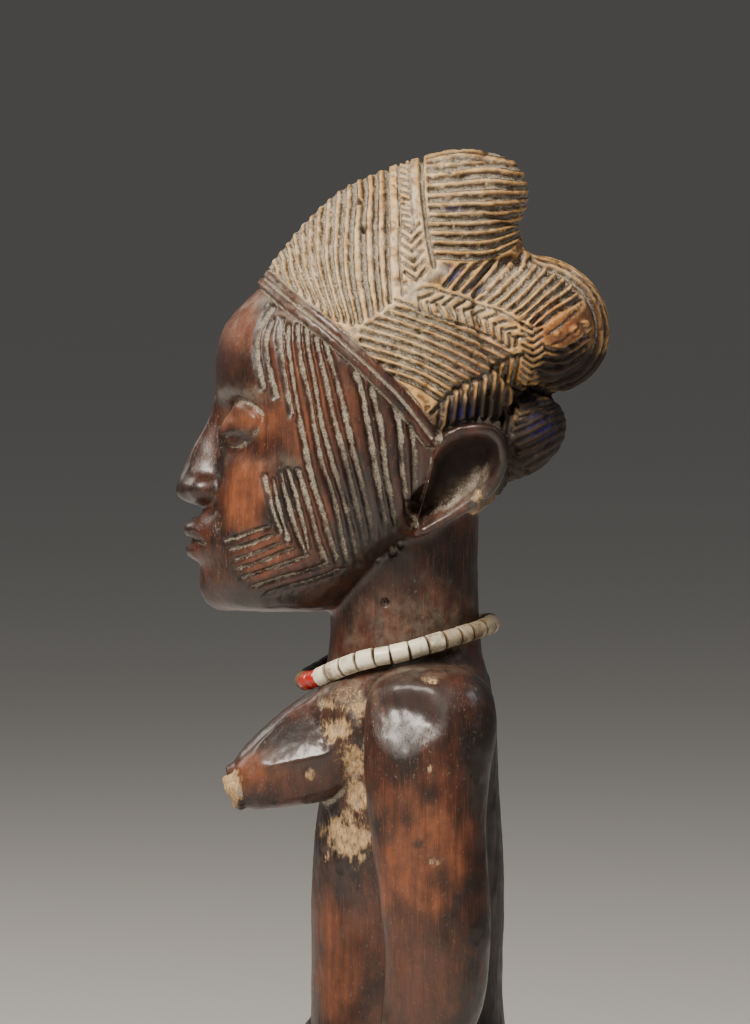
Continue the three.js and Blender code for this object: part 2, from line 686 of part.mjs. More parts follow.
// The loop lies on the shoulders at the neck's sides and leans down to the front. It rises wherever the
// body would touch a bead.
const loopHalfWidth = NECK_HALF_WIDTH + NECKLACE_SLACK + BEAD_DIAMETER / 2;
const loopHalfDepth = NECK_HALF_DEPTH + NECKLACE_SLACK + BEAD_DIAMETER / 2;
const LOOP_POINTS = 48;

function necklaceLoop(surface) {
  const reach = BEAD_DIAMETER / 2 + 2 * TOUCH_GAP;
  const shoulder = clearHeight(surface, loopHalfWidth, -NECKLACE_FORWARD, reach);
  const [lean, bow] = [(NECKLACE_DROP + NECKLACE_RISE) / 2, (NECKLACE_DROP - NECKLACE_RISE) / 2];
  const points = [];
  for (let i = 0; i < LOOP_POINTS; i++) {
    const turn = (2 * Math.PI * i) / LOOP_POINTS;
    const x = loopHalfWidth * Math.sin(turn);
    const y = -NECKLACE_FORWARD - loopHalfDepth * Math.cos(turn);
    const hung = shoulder - lean * Math.cos(turn) - bow * Math.cos(turn) ** 2;
    points.push(new THREE.Vector3(x, y, Math.max(hung, clearHeight(surface, x, y, reach))));
  }
  return new THREE.CatmullRomCurve3(points, true);
}

// How high the middle of a ball must lie above (x, y) to clear the body below it.
function clearHeight(surface, x, y, radius) {
  const down = new THREE.Vector3(0, 0, -1);
  const above = ((NECK.foot + NECK.top) / 2) * scale;
  let height = -Infinity;
  for (const share of [0, 0.5, 0.8]) {
    const sides = share === 0 ? 1 : 8;
    for (let k = 0; k < sides; k++) {
      const angle = (2 * Math.PI * k) / sides;
      const [dx, dy] = [radius * share * Math.cos(angle), radius * share * Math.sin(angle)];
      const found = firstHit(surface, new THREE.Vector3(x + dx, y + dy, above), down);
      if (found) height = Math.max(height, found.point.z + radius * Math.sqrt(1 - share * share));
    }
  }
  return height;
}

function beadGeometry() {
  const [bore, radius, half] = [BEAD_BORE / 2, BEAD_DIAMETER / 2, BEAD_LENGTH / 2];
  const profile = [[bore, -half], [radius, -0.6 * half], [radius, 0.6 * half], [bore, half], [bore, -half]];
  return new THREE.LatheGeometry(profile.map(([x, y]) => new THREE.Vector2(x, y)), 6);
}

// Beads in their order on the string, from the front round the figure's left side.
const BEAD_RUNS = [['brown', 1], ['red', 2], ['white', 17]]; // and dark ones to the end

function beadColours(count) {
  const first = BEAD_RUNS.flatMap(([colour, run]) => Array(run).fill(colour));
  return Array.from({ length: count }, (_, i) => first[i] ?? 'dark');
}

const loop = necklaceLoop(surfaceOf(body));
const beadCount = Math.floor(loop.getLength() / (BEAD_LENGTH + BEAD_GAP));
const placed = {};
beadColours(beadCount).forEach((colour, i) => {
  placed[colour] = (placed[colour] ?? 0) + 1;
  const bead = place(`bead_${colour}_${placed[colour]}`, beadGeometry(), finishes[colour]);
  const share = (i + 0.5) / beadCount;
  bead.position.copy(loop.getPointAt(share));
  bead.quaternion.setFromUnitVectors(new THREE.Vector3(0, 1, 0), loop.getTangentAt(share));
});
// The string bends between the beads and runs straight through each.
const string = new THREE.TubeGeometry(loop, beadCount, STRING_DIAMETER / 2, 3, true);
place('necklace_string', string, finishes.string);

export default whole;
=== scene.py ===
"""An ibeji figure in polished, handled hardwood with a string of small glass beads.

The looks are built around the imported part. Carved forms are drawn in millimetres above the soles, with the
figure facing -Y and its left side at +X. Lines of carving on the head are drawn on its side as [y, z].
"""

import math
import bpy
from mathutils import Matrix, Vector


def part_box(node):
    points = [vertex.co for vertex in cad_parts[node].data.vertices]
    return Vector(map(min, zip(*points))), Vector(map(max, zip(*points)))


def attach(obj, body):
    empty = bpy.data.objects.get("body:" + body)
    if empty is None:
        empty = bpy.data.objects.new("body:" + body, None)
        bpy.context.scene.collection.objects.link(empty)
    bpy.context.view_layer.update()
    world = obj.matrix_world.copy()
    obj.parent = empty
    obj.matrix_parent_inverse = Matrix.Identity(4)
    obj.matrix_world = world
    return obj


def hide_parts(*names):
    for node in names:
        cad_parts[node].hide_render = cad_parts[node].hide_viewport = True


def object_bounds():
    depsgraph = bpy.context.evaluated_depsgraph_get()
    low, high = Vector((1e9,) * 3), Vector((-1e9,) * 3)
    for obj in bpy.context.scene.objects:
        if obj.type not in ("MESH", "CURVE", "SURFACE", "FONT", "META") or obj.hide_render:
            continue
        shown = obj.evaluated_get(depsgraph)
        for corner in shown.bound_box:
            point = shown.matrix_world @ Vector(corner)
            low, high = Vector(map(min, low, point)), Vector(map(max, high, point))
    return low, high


bl_info = {
    "name": "Ibeji figure",
    "version": (1, 0, 0),
    "blender": (4, 5, 0),
    "location": "3D View > Sidebar > Ibeji",
    "description": "Builds a carved twin figure with its necklace, and a plain stage for it",
    "category": "Object",
}

import bmesh
import bpy
import numpy as np
from mathutils import Vector

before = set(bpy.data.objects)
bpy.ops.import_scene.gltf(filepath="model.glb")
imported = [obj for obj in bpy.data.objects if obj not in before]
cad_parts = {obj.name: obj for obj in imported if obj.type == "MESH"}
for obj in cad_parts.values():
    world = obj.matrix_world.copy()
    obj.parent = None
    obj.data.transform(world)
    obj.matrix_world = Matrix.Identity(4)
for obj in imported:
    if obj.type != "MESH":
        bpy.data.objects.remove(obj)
CAD_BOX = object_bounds()

BODY = "root"
DRAWN_TOP = 286.3  # the drawn height of the whole figure, in millimetres
PLINTH_HEIGHT = 10.0
PLINTH_RADIUS = 33.0
MM = (CAD_BOX[1].z - CAD_BOX[0].z) / DRAWN_TOP  # metres to a drawn millimetre
MIRROR = np.array([-1.0, 1.0, 1.0])


# Sizes and colours that a user may change


def linear(code):
    """A colour written as six hex digits, in scene linear values."""
    shares = [int(code[i : i + 2], 16) / 255 for i in (0, 2, 4)]
    return tuple(s / 12.92 if s <= 0.04045 else ((s + 0.055) / 1.055) ** 2.4 for s in shares)


def length(name, description, default):
    """A length in metres, given here in millimetres."""
    return bpy.props.FloatProperty(
        name=name, description=description, default=default / 1000, min=0, unit="LENGTH", precision=5
    )


def colour(name, description, code):
    return bpy.props.FloatVectorProperty(
        name=name, description=description, default=linear(code), size=3, min=0, max=1, subtype="COLOR"
    )


class IBEJI_PG_carving(bpy.types.PropertyGroup):
    head_grain: length("Head detail", "Size of the smallest form on the head", 0.27)
    body_grain: length("Body detail", "Size of the smallest form on the body", 0.5)
    hair_rise: length("Coiffure rise", "How far the plaits stand off the head", 1.3)
    hair_depth: length("Plait depth", "How deep the grooves between plaits are", 1.25)
    mark_depth: length("Mark depth", "How deep the marks on the face are", 0.85)
    tool_depth: length("Tool marks", "How deep the knife's scoops are on smooth surfaces", 0.22)
    triangles: bpy.props.IntProperty(
        name="Most triangles", description="Triangles in each carved piece", default=190000, min=1000
    )


class IBEJI_PG_wood(bpy.types.PropertyGroup):
    polished: colour("Polished wood", "Handled, oiled wood", "522b1d")
    # The dark wood is also the colour of the painted shade.
    dark: colour("Dark patina", "Wood under old dark patina", "1a110d")
    warm: colour("Warm wood", "Wood rubbed to a lighter red", "8c5030")
    golden: colour("Worn plaits", "Tops of the plaits, rubbed pale", "cfa468")
    amber: colour("Warm plaits", "Tops of the plaits, rubbed down to the wood", "ae7438")
    raw: colour("Bare wood", "Wood where the surface has come away", "bb9a70")
    dust: colour("Settled dust", "Dust and old powder in the grooves", "9c9281")
    powder: colour("Powder", "Old powder that lies on the plaits as a film", "cbbfa6")
    indigo: colour("Indigo", "Traces of indigo in the coiffure", "171760")


class IBEJI_PG_necklace(bpy.types.PropertyGroup):
    bead_diameter: length("Bead diameter", "Across the string", 4.3)
    bead_bore: length("Bead bore", "Hole for the string", 1.8)
    string_diameter: length("String diameter", "Across both strands", 1.0)
    white: colour("White glass", "Old opaque white glass", "e8dec4")
    stained: colour("Stained glass", "White glass that has gone yellow and brown", "a0937a")
    red: colour("Red glass", "Bright red glass", "b81810")
    brown: colour("Brown bead", "A dull brown bead", "6b5234")
    grime: colour("Grime", "Dirt between the beads", "5f4b30")
    dark: colour("Dark glass", "Nearly black glass", "14120f")
    string: colour("String", "Handled plant fibre", "5d4a35")


class IBEJI_PG_stage(bpy.types.PropertyGroup):
    floor: colour("Floor", "Plain pale floor", "d9d7d3")
    key_power: bpy.props.FloatProperty(
        name="Key light", description="Power of the main light", default=22, min=0, unit="POWER"
    )
    ambience: bpy.props.FloatProperty(
        name="Ambient light", description="Even light from all round", default=0.1, min=0
    )
    view_distance: length("Camera distance", "From the camera to the figure", 1400)


# Solids, as pairs of an array of points and a list of faces


def curve_rows(table, places):
    """Rows of a table at places from 0 to its last row, on a smooth curve through all the rows."""
    table = np.asarray(table, float)
    i = np.clip(np.floor(places).astype(int), 0, len(table) - 2)
    u = (places - i)[:, None]
    a, b, c, d = (table[np.clip(i + k, 0, len(table) - 1)] for k in (-1, 0, 1, 2))
    slope, bend, twist = c - a, 2 * a - 5 * b + 4 * c - d, 3 * b - a - 3 * c + d
    return b + 0.5 * (slope * u + bend * u**2 + twist * u**3)


def smooth_line(corners, per_span=5):
    """A smooth line through a few corners."""
    spans = len(corners) - 1
    return curve_rows(corners, np.linspace(0, spans, per_span * spans + 1))


def tube(count, around, closed=False, start=0):
    """The faces between rings of points. A closed tube's last ring is joined to its first."""
    faces = []
    for i in range(count if closed else count - 1):
        ring, following = start + i * around, start + (i + 1) % count * around
        for j in range(around):
            k = (j + 1) % around
            faces.append((ring + j, ring + k, following + k, following + j))
    return faces


def skin(rings):
    """A closed solid through rings of equally many points, given as [ring, point, xyz]."""
    count, around = rings.shape[:2]
    faces = tube(count, around)
    faces.append(tuple(range(around))[::-1])
    faces.append(tuple(range((count - 1) * around, count * around)))
    return rings.reshape(-1, 3), faces


def turns(around):
    return np.linspace(0, 2 * np.pi, around, endpoint=False)


def signed_power(value, power):
    return np.sign(value) * np.abs(value) ** power


def form(stations, around=72, steps=110):
    """A solid of level sections. Each station is [height, centre x, front y, back y, widest y,
    half width, squareness], where squareness 2 is an ellipse and more is boxier."""
    rows = curve_rows(stations, np.linspace(0, len(stations) - 1, steps + 1))
    height, middle, front, back, widest, half, square = rows.T[:, :, None]
    across = signed_power(np.cos(turns(around)), 2 / square)
    along = signed_power(np.sin(turns(around)), 2 / square)
    reach = np.where(along < 0, widest - front, back - widest)
    return skin(np.stack([middle + half * across, widest + reach * along, height + 0 * across], -1))


def knob(centre, radii, lean=0.0, around=64, levels=40):
    """An ellipsoid, whose top leans forward by a share of its height."""
    level = np.linspace(-np.pi / 2, np.pi / 2, levels + 2)[1:-1, None]
    turn = turns(around)
    ball = [np.cos(level) * np.cos(turn), np.cos(level) * np.sin(turn), np.sin(level) + 0 * turn]
    ball = np.stack(ball, -1) * radii
    ball[..., 1] -= lean * ball[..., 2]
    return skin(ball + centre)


def turned(profile, root, tip, around=64):
    """A solid turned about the line from root to tip. The profile's rows are [radius, share of the way]."""
    rows = curve_rows(profile, np.linspace(0, len(profile) - 1, 8 * len(profile)))
    radius, share = np.maximum(rows[:, :1], 0.02), rows[:, 1:]
    axis = np.subtract(tip, root)
    side = np.cross(axis, [1, 0, 0])
    side /= np.linalg.norm(side)
    other = np.cross(axis, side) / np.linalg.norm(axis)
    turn = turns(around)
    ring = np.cos(turn)[:, None] * side + np.sin(turn)[:, None] * other
    return skin(np.add(root, share[:, None] * axis + radius[:, None] * ring))


def plate(outline, inner_x, outer_x, lean):
    """A closed outline in [y, z], drawn out along x from inner_x to outer_x, where lean(z) shifts it."""
    closed = [*outline, outline[0], outline[1], outline[2]]
    edge = curve_rows(closed, np.linspace(1, len(outline) + 1, 12 * len(outline), endpoint=False))
    rings = []
    for x in np.linspace(inner_x, outer_x, 8):
        rings.append(np.column_stack([x + lean(edge[:, 1]), edge]))
    return skin(np.array(rings))


def both(solid):
    """A solid and its mirror image on the other side."""
    points, faces = solid
    return [solid, (points * MIRROR, [face[::-1] for face in faces])]


def mesh_of(name, solids):
    """A mesh in drawn millimetres with several closed solids in it."""
    points, faces, start = [], [], 0
    for solid_points, solid_faces in solids:
        points.append(solid_points)
        faces += [tuple(start + i for i in face) for face in solid_faces]
        start += len(solid_points)
    mesh = bpy.data.meshes.new(name)
    mesh.from_pydata(np.vstack(points).tolist(), [], faces)
    shell = bmesh.new()
    shell.from_mesh(mesh)
    bmesh.ops.recalc_face_normals(shell, faces=shell.faces)
    shell.to_mesh(mesh)
    shell.free()
    return mesh


def vectors_of(items, key):
    flat = np.empty(3 * len(items), np.float32)
    items.foreach_get(key, flat)
    return flat.reshape(-1, 3).astype(float)


def points_of(mesh):
    return vectors_of(mesh.vertices, "co")


def normals_of(mesh):
    return vectors_of(mesh.vertex_normals, "vector")


def set_points(mesh, points):
    mesh.vertices.foreach_set("co", points.astype(np.float32).ravel())
    mesh.update()


def with_modifiers(mesh, *modifiers):
    """The mesh after modifiers, each given as a kind and its settings."""
    carrier = bpy.data.objects.new("carrier", mesh)
    bpy.context.scene.collection.objects.link(carrier)
    for kind, settings in modifiers:
        modifier = carrier.modifiers.new(kind, kind)
        for key, value in settings.items():
            setattr(modifier, key, value)
    graph = bpy.context.evaluated_depsgraph_get()
    made = bpy.data.meshes.new_from_object(carrier.evaluated_get(graph), depsgraph=graph)
    bpy.data.objects.remove(carrier)
    bpy.data.meshes.remove(mesh)
    return made


def fused(mesh, grain, rounds):
    """The solids of a mesh as one skin with edges of the length grain, rounded off in its creases."""
    return with_modifiers(
        mesh,
        ("REMESH", {"mode": "VOXEL", "voxel_size": grain}),
        ("SMOOTH", {"factor": 0.5, "iterations": rounds}),
    )


def keep_values(mesh, name, values):
    """Keeps a value for each point on the mesh, for its material."""
    layer = mesh.attributes.new(name, "FLOAT", "POINT")
    layer.data.foreach_set("value", values.astype(np.float32))


def averager(mesh):
    """A function that gives, for values with one row to a point, their means over each point's neighbours."""
    edges = np.empty(2 * len(mesh.edges), np.int32)
    mesh.edges.foreach_get("vertices", edges)
    a, b = edges.reshape(-1, 2).T
    many = len(mesh.vertices)
    count = np.bincount(a, minlength=many) + np.bincount(b, minlength=many)

    def means(values):
        total = np.empty_like(values)
        for column in range(values.shape[1]):
            total[:, column] = np.bincount(a, values[b, column], many)
            total[:, column] += np.bincount(b, values[a, column], many)
        return total / count[:, None]

    return means


def relax(mesh, weight, rounds):
    """Rounds the surface off where weight is 1, and leaves it where weight is 0."""
    points, means = points_of(mesh), averager(mesh)
    for _ in range(rounds):
        points += 0.6 * weight[:, None] * (means(points) - points)
    set_points(mesh, points)


# Fields over the surface. A flat place is [y, z] on the side. On the face it is [across, z], where across is
# measured round the head from the middle of the face.

FACE_AXIS_Y = -12
FACE_RADIUS = 30


def folded(points):
    """The points with the right side folded onto the left."""
    return np.column_stack([np.abs(points[:, 0]), points[:, 1:]])


def face_places(points):
    """Places on the face, as [across, z]."""
    turn = np.arctan2(np.abs(points[:, 0]), FACE_AXIS_Y - points[:, 1])
    return FACE_RADIUS * turn, points[:, 2]


def smoothstep(low, high, value):
    t = np.clip((value - low) / (high - low), 0, 1)
    return t * t * (3 - 2 * t)


def soft_noise(points, size, seed, octaves=2):
    """Smooth noise from about -1 to 1, with bumps about size across."""
    table = np.random.default_rng(seed).uniform(-1, 1, (32, 32, 32))
    total = np.zeros(len(points))
    for octave in range(octaves):
        place = points * (2**octave / size) + 7.3 * octave
        cell = np.floor(place).astype(int)
        share = place - cell
        share = share * share * (3 - 2 * share)
        for corner in np.ndindex(2, 2, 2):
            weight = np.prod(np.where(corner, share, 1 - share), axis=1)
            total += weight * table[tuple(((cell + corner) % 32).T)] / 2**octave
    return total


def scoops(points, size, seed):
    """Shallow scoops side by side, from 0 in the middle of each to about 1 on the ridges between them."""
    table = np.random.default_rng(seed).uniform(0, 1, (16, 16, 16, 3))
    place = points / size
    cell = np.floor(place).astype(int)
    best = np.full(len(points), np.inf)
    for corner in np.ndindex(3, 3, 3):
        there = cell + corner - 1
        away = place - there - table[tuple((there % 16).T)]
        best = np.minimum(best, np.einsum("ij,ij->i", away, away))
    return best


def smooth_lines(lines):
    return [smooth_line(line) for line in lines]


def line_distance(flat, line):
    """How far each flat place lies from a line."""
    best = np.full(len(flat), np.inf)
    line = np.asarray(line, float)
    for start, end in zip(line[:-1], line[1:]):
        way = end - start
        share = np.clip((flat - start) @ way / (way @ way), 0, 1)
        away = flat - start - share[:, None] * way
        best = np.minimum(best, np.einsum("ij,ij->i", away, away))
    return np.sqrt(best)


def depth_inside(flat, outline):
    """How far each flat place lies inside a closed outline; outside it is less than 0."""
    corners = np.asarray(outline, float)
    following = np.roll(corners, -1, axis=0)
    within = np.zeros(len(flat), bool)
    for (y0, z0), (y1, z1) in zip(corners, following):
        if z0 == z1:
            continue
        spans = (z0 > flat[:, 1]) != (z1 > flat[:, 1])
        crossing = y0 + (flat[:, 1] - z0) * (y1 - y0) / (z1 - z0)
        within ^= spans & (flat[:, 0] < crossing)
    distance = line_distance(flat, np.vstack([corners, corners[:1]]))
    return np.where(within, distance, -distance)


def along(corners, share):
    """The place at a share of the way along a line of corners."""
    t = share * (len(corners) - 1)
    i = min(int(t), len(corners) - 2)
    return np.array(corners[i]) * (i + 1 - t) + np.array(corners[i + 1]) * (t - i)


def fan(rows, count):
    """Lines that cross rows of places, from the first row to the last, at equal shares along each row."""
    shares = [i / (count - 1) for i in range(count)]
    return smooth_lines([along(row, share) for row in rows] for share in shares)


def ticks(spine, pitch, away, first=0.5):
    """Short lines that leave a spine at equal steps. Away is [along the spine, to its left], in
    millimetres."""
    path = smooth_line(spine, 12)
    steps = np.linalg.norm(np.diff(path, axis=0), axis=1)
    run = np.concatenate([[0], np.cumsum(steps)])
    lines = []
    for at in np.arange(first * pitch, run[-1], pitch):
        i = min(int(np.searchsorted(run, at, side="right")) - 1, len(steps) - 1)
        ahead = (path[i + 1] - path[i]) / steps[i]
        start = path[i] + (at - run[i]) * ahead
        left = np.array([-ahead[1], ahead[0]])
        lines.append([start, start + away[0] * ahead + away[1] * left])
    return lines


def pare(points, place, facing, reach):
    """Flattens a facet with the knife, through a place on both sides of the figure and square to facing."""
    facing = np.array(facing) / np.linalg.norm(facing)
    pared = folded(points)
    proud = np.clip((pared - place) @ facing, 0, None)
    proud = proud**2 / (proud + 0.5) * smoothstep(reach, 0.5 * reach, np.linalg.norm(pared - place, axis=1))
    pared -= 0.8 * proud[:, None] * facing
    return np.column_stack([np.copysign(pared[:, 0], points[:, 0]), pared[:, 1:]])


class Carving:
    """Collects what the knife and the years did to a surface: how far it moves outward, in millimetres,
    and masks from 0 to 1, some of which also hold painted shade."""

    def __init__(self, mesh, masks):
        self.points = points_of(mesh)
        self.normals = normals_of(mesh)
        self.rise = np.zeros(len(self.points))
        self.masks = {name: np.zeros(len(self.points)) for name in masks}
        drift = np.column_stack([soft_noise(self.points, 9, seed, 1) for seed in (11, 12)])
        self.side = self.points[:, 1:] + 0.3 * drift
        self.front = np.column_stack(face_places(self.points)) + 0.05 * drift
        self.uneven = soft_noise(self.points, 1.6, 13)

    def near(self, flat, lines, reach):
        low = np.min([np.min(line, axis=0) for line in lines], axis=0) - reach
        high = np.max([np.max(line, axis=0) for line in lines], axis=0) + reach
        return np.flatnonzero(np.all((flat > low) & (flat < high), axis=1))

    def mark(self, name, amount, where=slice(None)):
        self.masks[name][where] = np.maximum(self.masks[name][where], amount)

    def cut(self, lines, width, depth, flat=None, within=None, sharp=1.4, dust=1.0, taper=0.0, fade=None,
            dust_from=0.25, crowding=None):
        """Grooves along lines. Within weighs each point, sharp is how narrow the floor is, fade weighs
        the depth alone and dust starts at a share of the depth. With crowding, a groove takes no more than
        that share of the room between two lines."""
        flat = self.side if flat is None else flat
        chosen = self.near(flat, lines, width)
        if within is not None:
            chosen = chosen[within[chosen] > 0.01]
        distance, second = np.full((2, len(chosen)), np.inf)
        for line in lines:
            away = line_distance(flat[chosen], line)
            if taper:
                away = away + taper * self.past_ends(flat[chosen], line, width)
            second = np.minimum(second, np.maximum(distance, away))
            distance = np.minimum(distance, away)
        if crowding is not None:
            width = np.minimum(width, crowding * (distance + second))
        floor = np.clip(1 - distance / (0.5 * width), 0, 1) ** sharp
        weight = floor * (1 if within is None else within[chosen])
        deep = depth if fade is None else depth * fade[chosen]
        self.rise[chosen] -= deep * weight * (1 + 0.3 * self.uneven[chosen])
        self.mark("dust", dust * smoothstep(dust_from, dust_from + 0.45, weight), chosen)
        # Patina and painted shade darken each groove's sides.
        self.mark("flank", np.clip(4 * weight * (1 - weight), 0, 1), chosen)
        return chosen, weight

    def past_ends(self, flat, line, width):
        """Grows from 0 to 1 over the last width of a line at each of its ends."""
        ends = [np.linalg.norm(flat - line[0], axis=1), np.linalg.norm(flat - line[-1], axis=1)]
        return 0.5 * width * np.clip(1 - np.minimum(*ends) / (1.5 * width), 0, 1)

    def ridge(self, lines, width, height, flat=None):
        flat = self.side if flat is None else flat
        chosen = self.near(flat, lines, width)
        distance = np.min([line_distance(flat[chosen], line) for line in lines], axis=0)
        crown = np.clip(1 - (distance / (0.5 * width)) ** 2, 0, 1)
        self.rise[chosen] += height * crown
        return chosen, crown


# Body


PLINTH_EDGE = 1.6  # how far its edges are rounded


def rounded_corner(radius, height, fillet):
    """The corner of a turned profile, as [radius, height], from its lower end out to its side."""
    return [
        [radius - fillet * (1 - math.sin(turn)), height + fillet * (1 - math.cos(turn))]
        for turn in np.linspace(0, math.pi / 2, 6)
    ]


def plinth():
    corner = rounded_corner(PLINTH_RADIUS, 0, PLINTH_EDGE)
    profile = np.array(corner + [[r, PLINTH_HEIGHT - z] for r, z in corner[::-1]])
    radius, height = profile.T[:, :, None]
    turn = turns(128)
    level = height - PLINTH_HEIGHT + 0 * turn
    return skin(np.stack([radius * np.cos(turn), radius * np.sin(turn), level], -1))


def legs():
    leg = form([
        [-1.5, 11.8, -7, 9.5, 1, 7.8, 2.4],
        [12, 11.8, -7, 9.8, 1, 7.8, 2.3],
        [24, 12, -9.5, 13, 0, 9.3, 2.2],
        [37, 12.2, -13, 12, -1, 9.8, 2.2],
        [48, 12, -14.5, 17, 0, 11, 2.2],
        [62, 11, -15, 22, 2, 12.5, 2.2],
    ])
    foot = form([
        [-1.5, 12.6, -25.5, 11, -11, 9, 2.8],
        [3.5, 12.6, -24.5, 11.2, -11, 8.8, 2.6],
        [6.5, 12.5, -18.5, 11, -8, 8.4, 2.4],
        [11, 12.2, -10.5, 10.4, -3, 8, 2.3],
        [17, 12, -7.5, 10, 0, 7.6, 2.3],
    ])
    return [*both(leg), *both(foot), *both(knob([10.5, 12.8, 66], [12, 11.2, 14]))]


def torso():
    return form([
        [50, 0, -10, 14, 2, 15, 2.2],
        [60, 0, -17, 20, 2, 22.5, 2.3],
        [73, 0, -20.5, 23, 2, 24.5, 2.3],
        [88, 0, -20.5, 21.7, 2, 22, 2.4],
        [101, 0, -20.4, 21.7, 2, 20.5, 2.4],
        [113, 0, -20.4, 22, 2, 20.5, 2.4],
        [126, 0, -19.6, 21.5, 2, 22.5, 2.4],
        [139, 0, -18, 20.5, 2, 25.5, 2.4],
        [150, 0, -17, 20, 2, 27.5, 2.4],
        [158, 0, -16.5, 18.8, 2, 25, 2.3],
        [164, 0, -15.5, 17.3, 1, 18, 2.2],
        [168, 0, -14, 16, 0, 14, 2.1],
    ])


def breast():
    return turned([
        [0, 0], [12.4, 0.05], [11.4, 0.36], [9, 0.66], [6.1, 0.92], [4.9, 0.99], [4.1, 1.03], [3.8, 1.09],
        [0, 1.11],
    ], [11, -6, 151], [14, -35.1, 137.1])


def arm():
    return form([
        [164.5, 23, -1, 12, 6, 6, 2.1],
        [160.5, 26, -7.5, 18, 6, 10, 2.2],
        [152, 28.5, -8.9, 19.6, 6, 10.3, 2.3],
        [140, 30, -8.6, 17.8, 5, 9.6, 2.3],
        [128, 30.6, -7.3, 17.2, 5, 9.2, 2.3],
        [116, 31, -5.7, 18, 6, 8.85, 2.3],
        [104, 31, -4.5, 18, 6.5, 8.6, 2.3],
        [92, 30.2, -5, 16.5, 6, 7.8, 2.2],
        [80, 28.8, -7, 11.5, 3, 6.2, 2.2],
        [74, 28, -9.5, 9.5, 0, 5.5, 2.3],
        [62, 27.2, -11.5, 7, -2, 5.1, 2.5],
        [53, 26.4, -10, 2.5, -4, 4.3, 2.5],
        [50, 25.6, -8, 0, -4, 2.5, 2.3],
    ])


def neck():
    width, depth = 14.5, 16.2
    return form([
        [155, 0, -depth - 3, depth + 2.5, 0, width + 5, 2.1],
        [163, 0, -depth - 0.8, depth + 1, 0, width + 1.4, 2.1],
        [171, 0, -depth, depth, 0, width, 2.1],
        [184, 0, -depth - 0.6, depth - 0.3, 0, width + 0.2, 2.1],
        [200, 0, -depth - 1, depth, 0, width + 0.6, 2.1],
    ])


# Head


def skull():
    return form([
        [175, 0, -38, -15, -26, 7, 2],
        [176.6, 0, -42.5, -12, -24, 12, 2.1],
        [181, 0, -44.3, -8, -20, 16.5, 2.2],
        [187, 0, -44, -2, -16, 20, 2.2],
        [194, 0, -43, 7, -11, 23, 2.2],
        [201, 0, -41.5, 16, -7, 25, 2.2],
        [209, 0, -40.5, 22, -4, 26.2, 2.2],
        [218, 0, -40.2, 25, -3, 27, 2.2],
        [228, 0, -41.3, 27, -2, 27, 2.15],
        [237, 0, -39, 27, -1, 25.8, 2.1],
        [245.5, 0, -31.2, 26, 1, 23, 2],
        [252, 0, -26.2, 25, 3, 19.7, 2],
        [259, 0, -20.2, 23, 5, 15.8, 2],
        [265.5, 0, -12.8, 21, 8, 12, 2],
        [269.8, 0, -3.5, 19.6, 11, 8.5, 2],
        [272.8, 0, 6, 18, 13, 4.8, 2],
        [273.8, 0, 11, 15.5, 13.5, 2, 2],
    ], 160, 200)


CREST_KNOB = ([0, 13.6, 262.6], [11.3, 11.6, 10.9], -0.28)
MIDDLE_BUNCH = ([0, 29.4, 237.1], [10, 15, 14.9], 0.1)
SIDE_BUNCH = ([12.5, 25.5, 237.5], [11.6, 14.6, 13.2], 0.1)
NAPE_BUNCH = ([0, 21.5, 213], [17.5, 13.2, 10.4], -0.25)
NAPE_FOOT = ([0, 12.5, 205.5], [14, 10.4, 12], -0.35)
BUNCH_FILL = ([0, 23.5, 247], [9.4, 9, 7], 0.3)  # hair that is drawn down from under the crest

# The face is a general one, set out by the usual thirds.
HAIRLINE_HEIGHT, CHIN_HEIGHT = 245, 175
FACE_THIRD = (HAIRLINE_HEIGHT - CHIN_HEIGHT) / 3
BROW_HEIGHT = HAIRLINE_HEIGHT - FACE_THIRD
NOSE_BASE_HEIGHT = BROW_HEIGHT - FACE_THIRD
MOUTH_HEIGHT = NOSE_BASE_HEIGHT - FACE_THIRD / 3
EYE_HEIGHT = BROW_HEIGHT - FACE_THIRD / 4
EYE_ACROSS = 13.6  # round the head from the middle of the face
EYE_HALF_WIDTH, EYE_HALF_HEIGHT = 9.4, 5.2
EYE_SOCKET_DEPTH = 3.6

EAR_FLARE = 0.2
EAR_TOP = 217.6
EAR_INSIDE_X, EAR_OUTSIDE_X = 12, 29
EAR_OUTLINE = [
    [1.6, 192.4], [5.4, 193], [10.9, 196.1], [16.3, 199.6], [20.2, 203.4], [21.7, 208], [21.4, 212.4],
    [19.6, 215.6], [15.6, 216.6], [10.9, 215.8], [7, 213.4], [5.6, 207], [3.6, 199],
]
EAR_HOLLOW = [
    [3.4, 193.6], [9.6, 197.2], [15.2, 201.2], [18.6, 205], [20.2, 208.4], [19.8, 212.2], [18, 214],
    [15.4, 214.5], [11.2, 213.8], [7.6, 211.6], [5.4, 209], [4, 204], [0, 199],
]
EAR_HOLLOW_DEPTH = 6.2


def nose():
    base = NOSE_BASE_HEIGHT
    return form([
        [base - 0.4, 0, -46, -36, -42, 4.6, 2],
        [base + 1, 0, -49.6, -36, -42.5, 6, 2],
        [base + 3, 0, -50.2, -36, -42.5, 6.4, 2],
        [base + 6, 0, -49.2, -36, -42, 5.2, 2],
        [base + 13, 0, -46.2, -36, -39, 3.9, 2],
        [BROW_HEIGHT - 2, 0, -42.3, -36, -38, 4, 2],
        [BROW_HEIGHT + 5, 0, -40.8, -36, -38, 4, 2],
    ])


def ear():
    lean = lambda z: EAR_FLARE * (z - EAR_TOP)
    return plate(EAR_OUTLINE, EAR_INSIDE_X, EAR_OUTSIDE_X, lean)


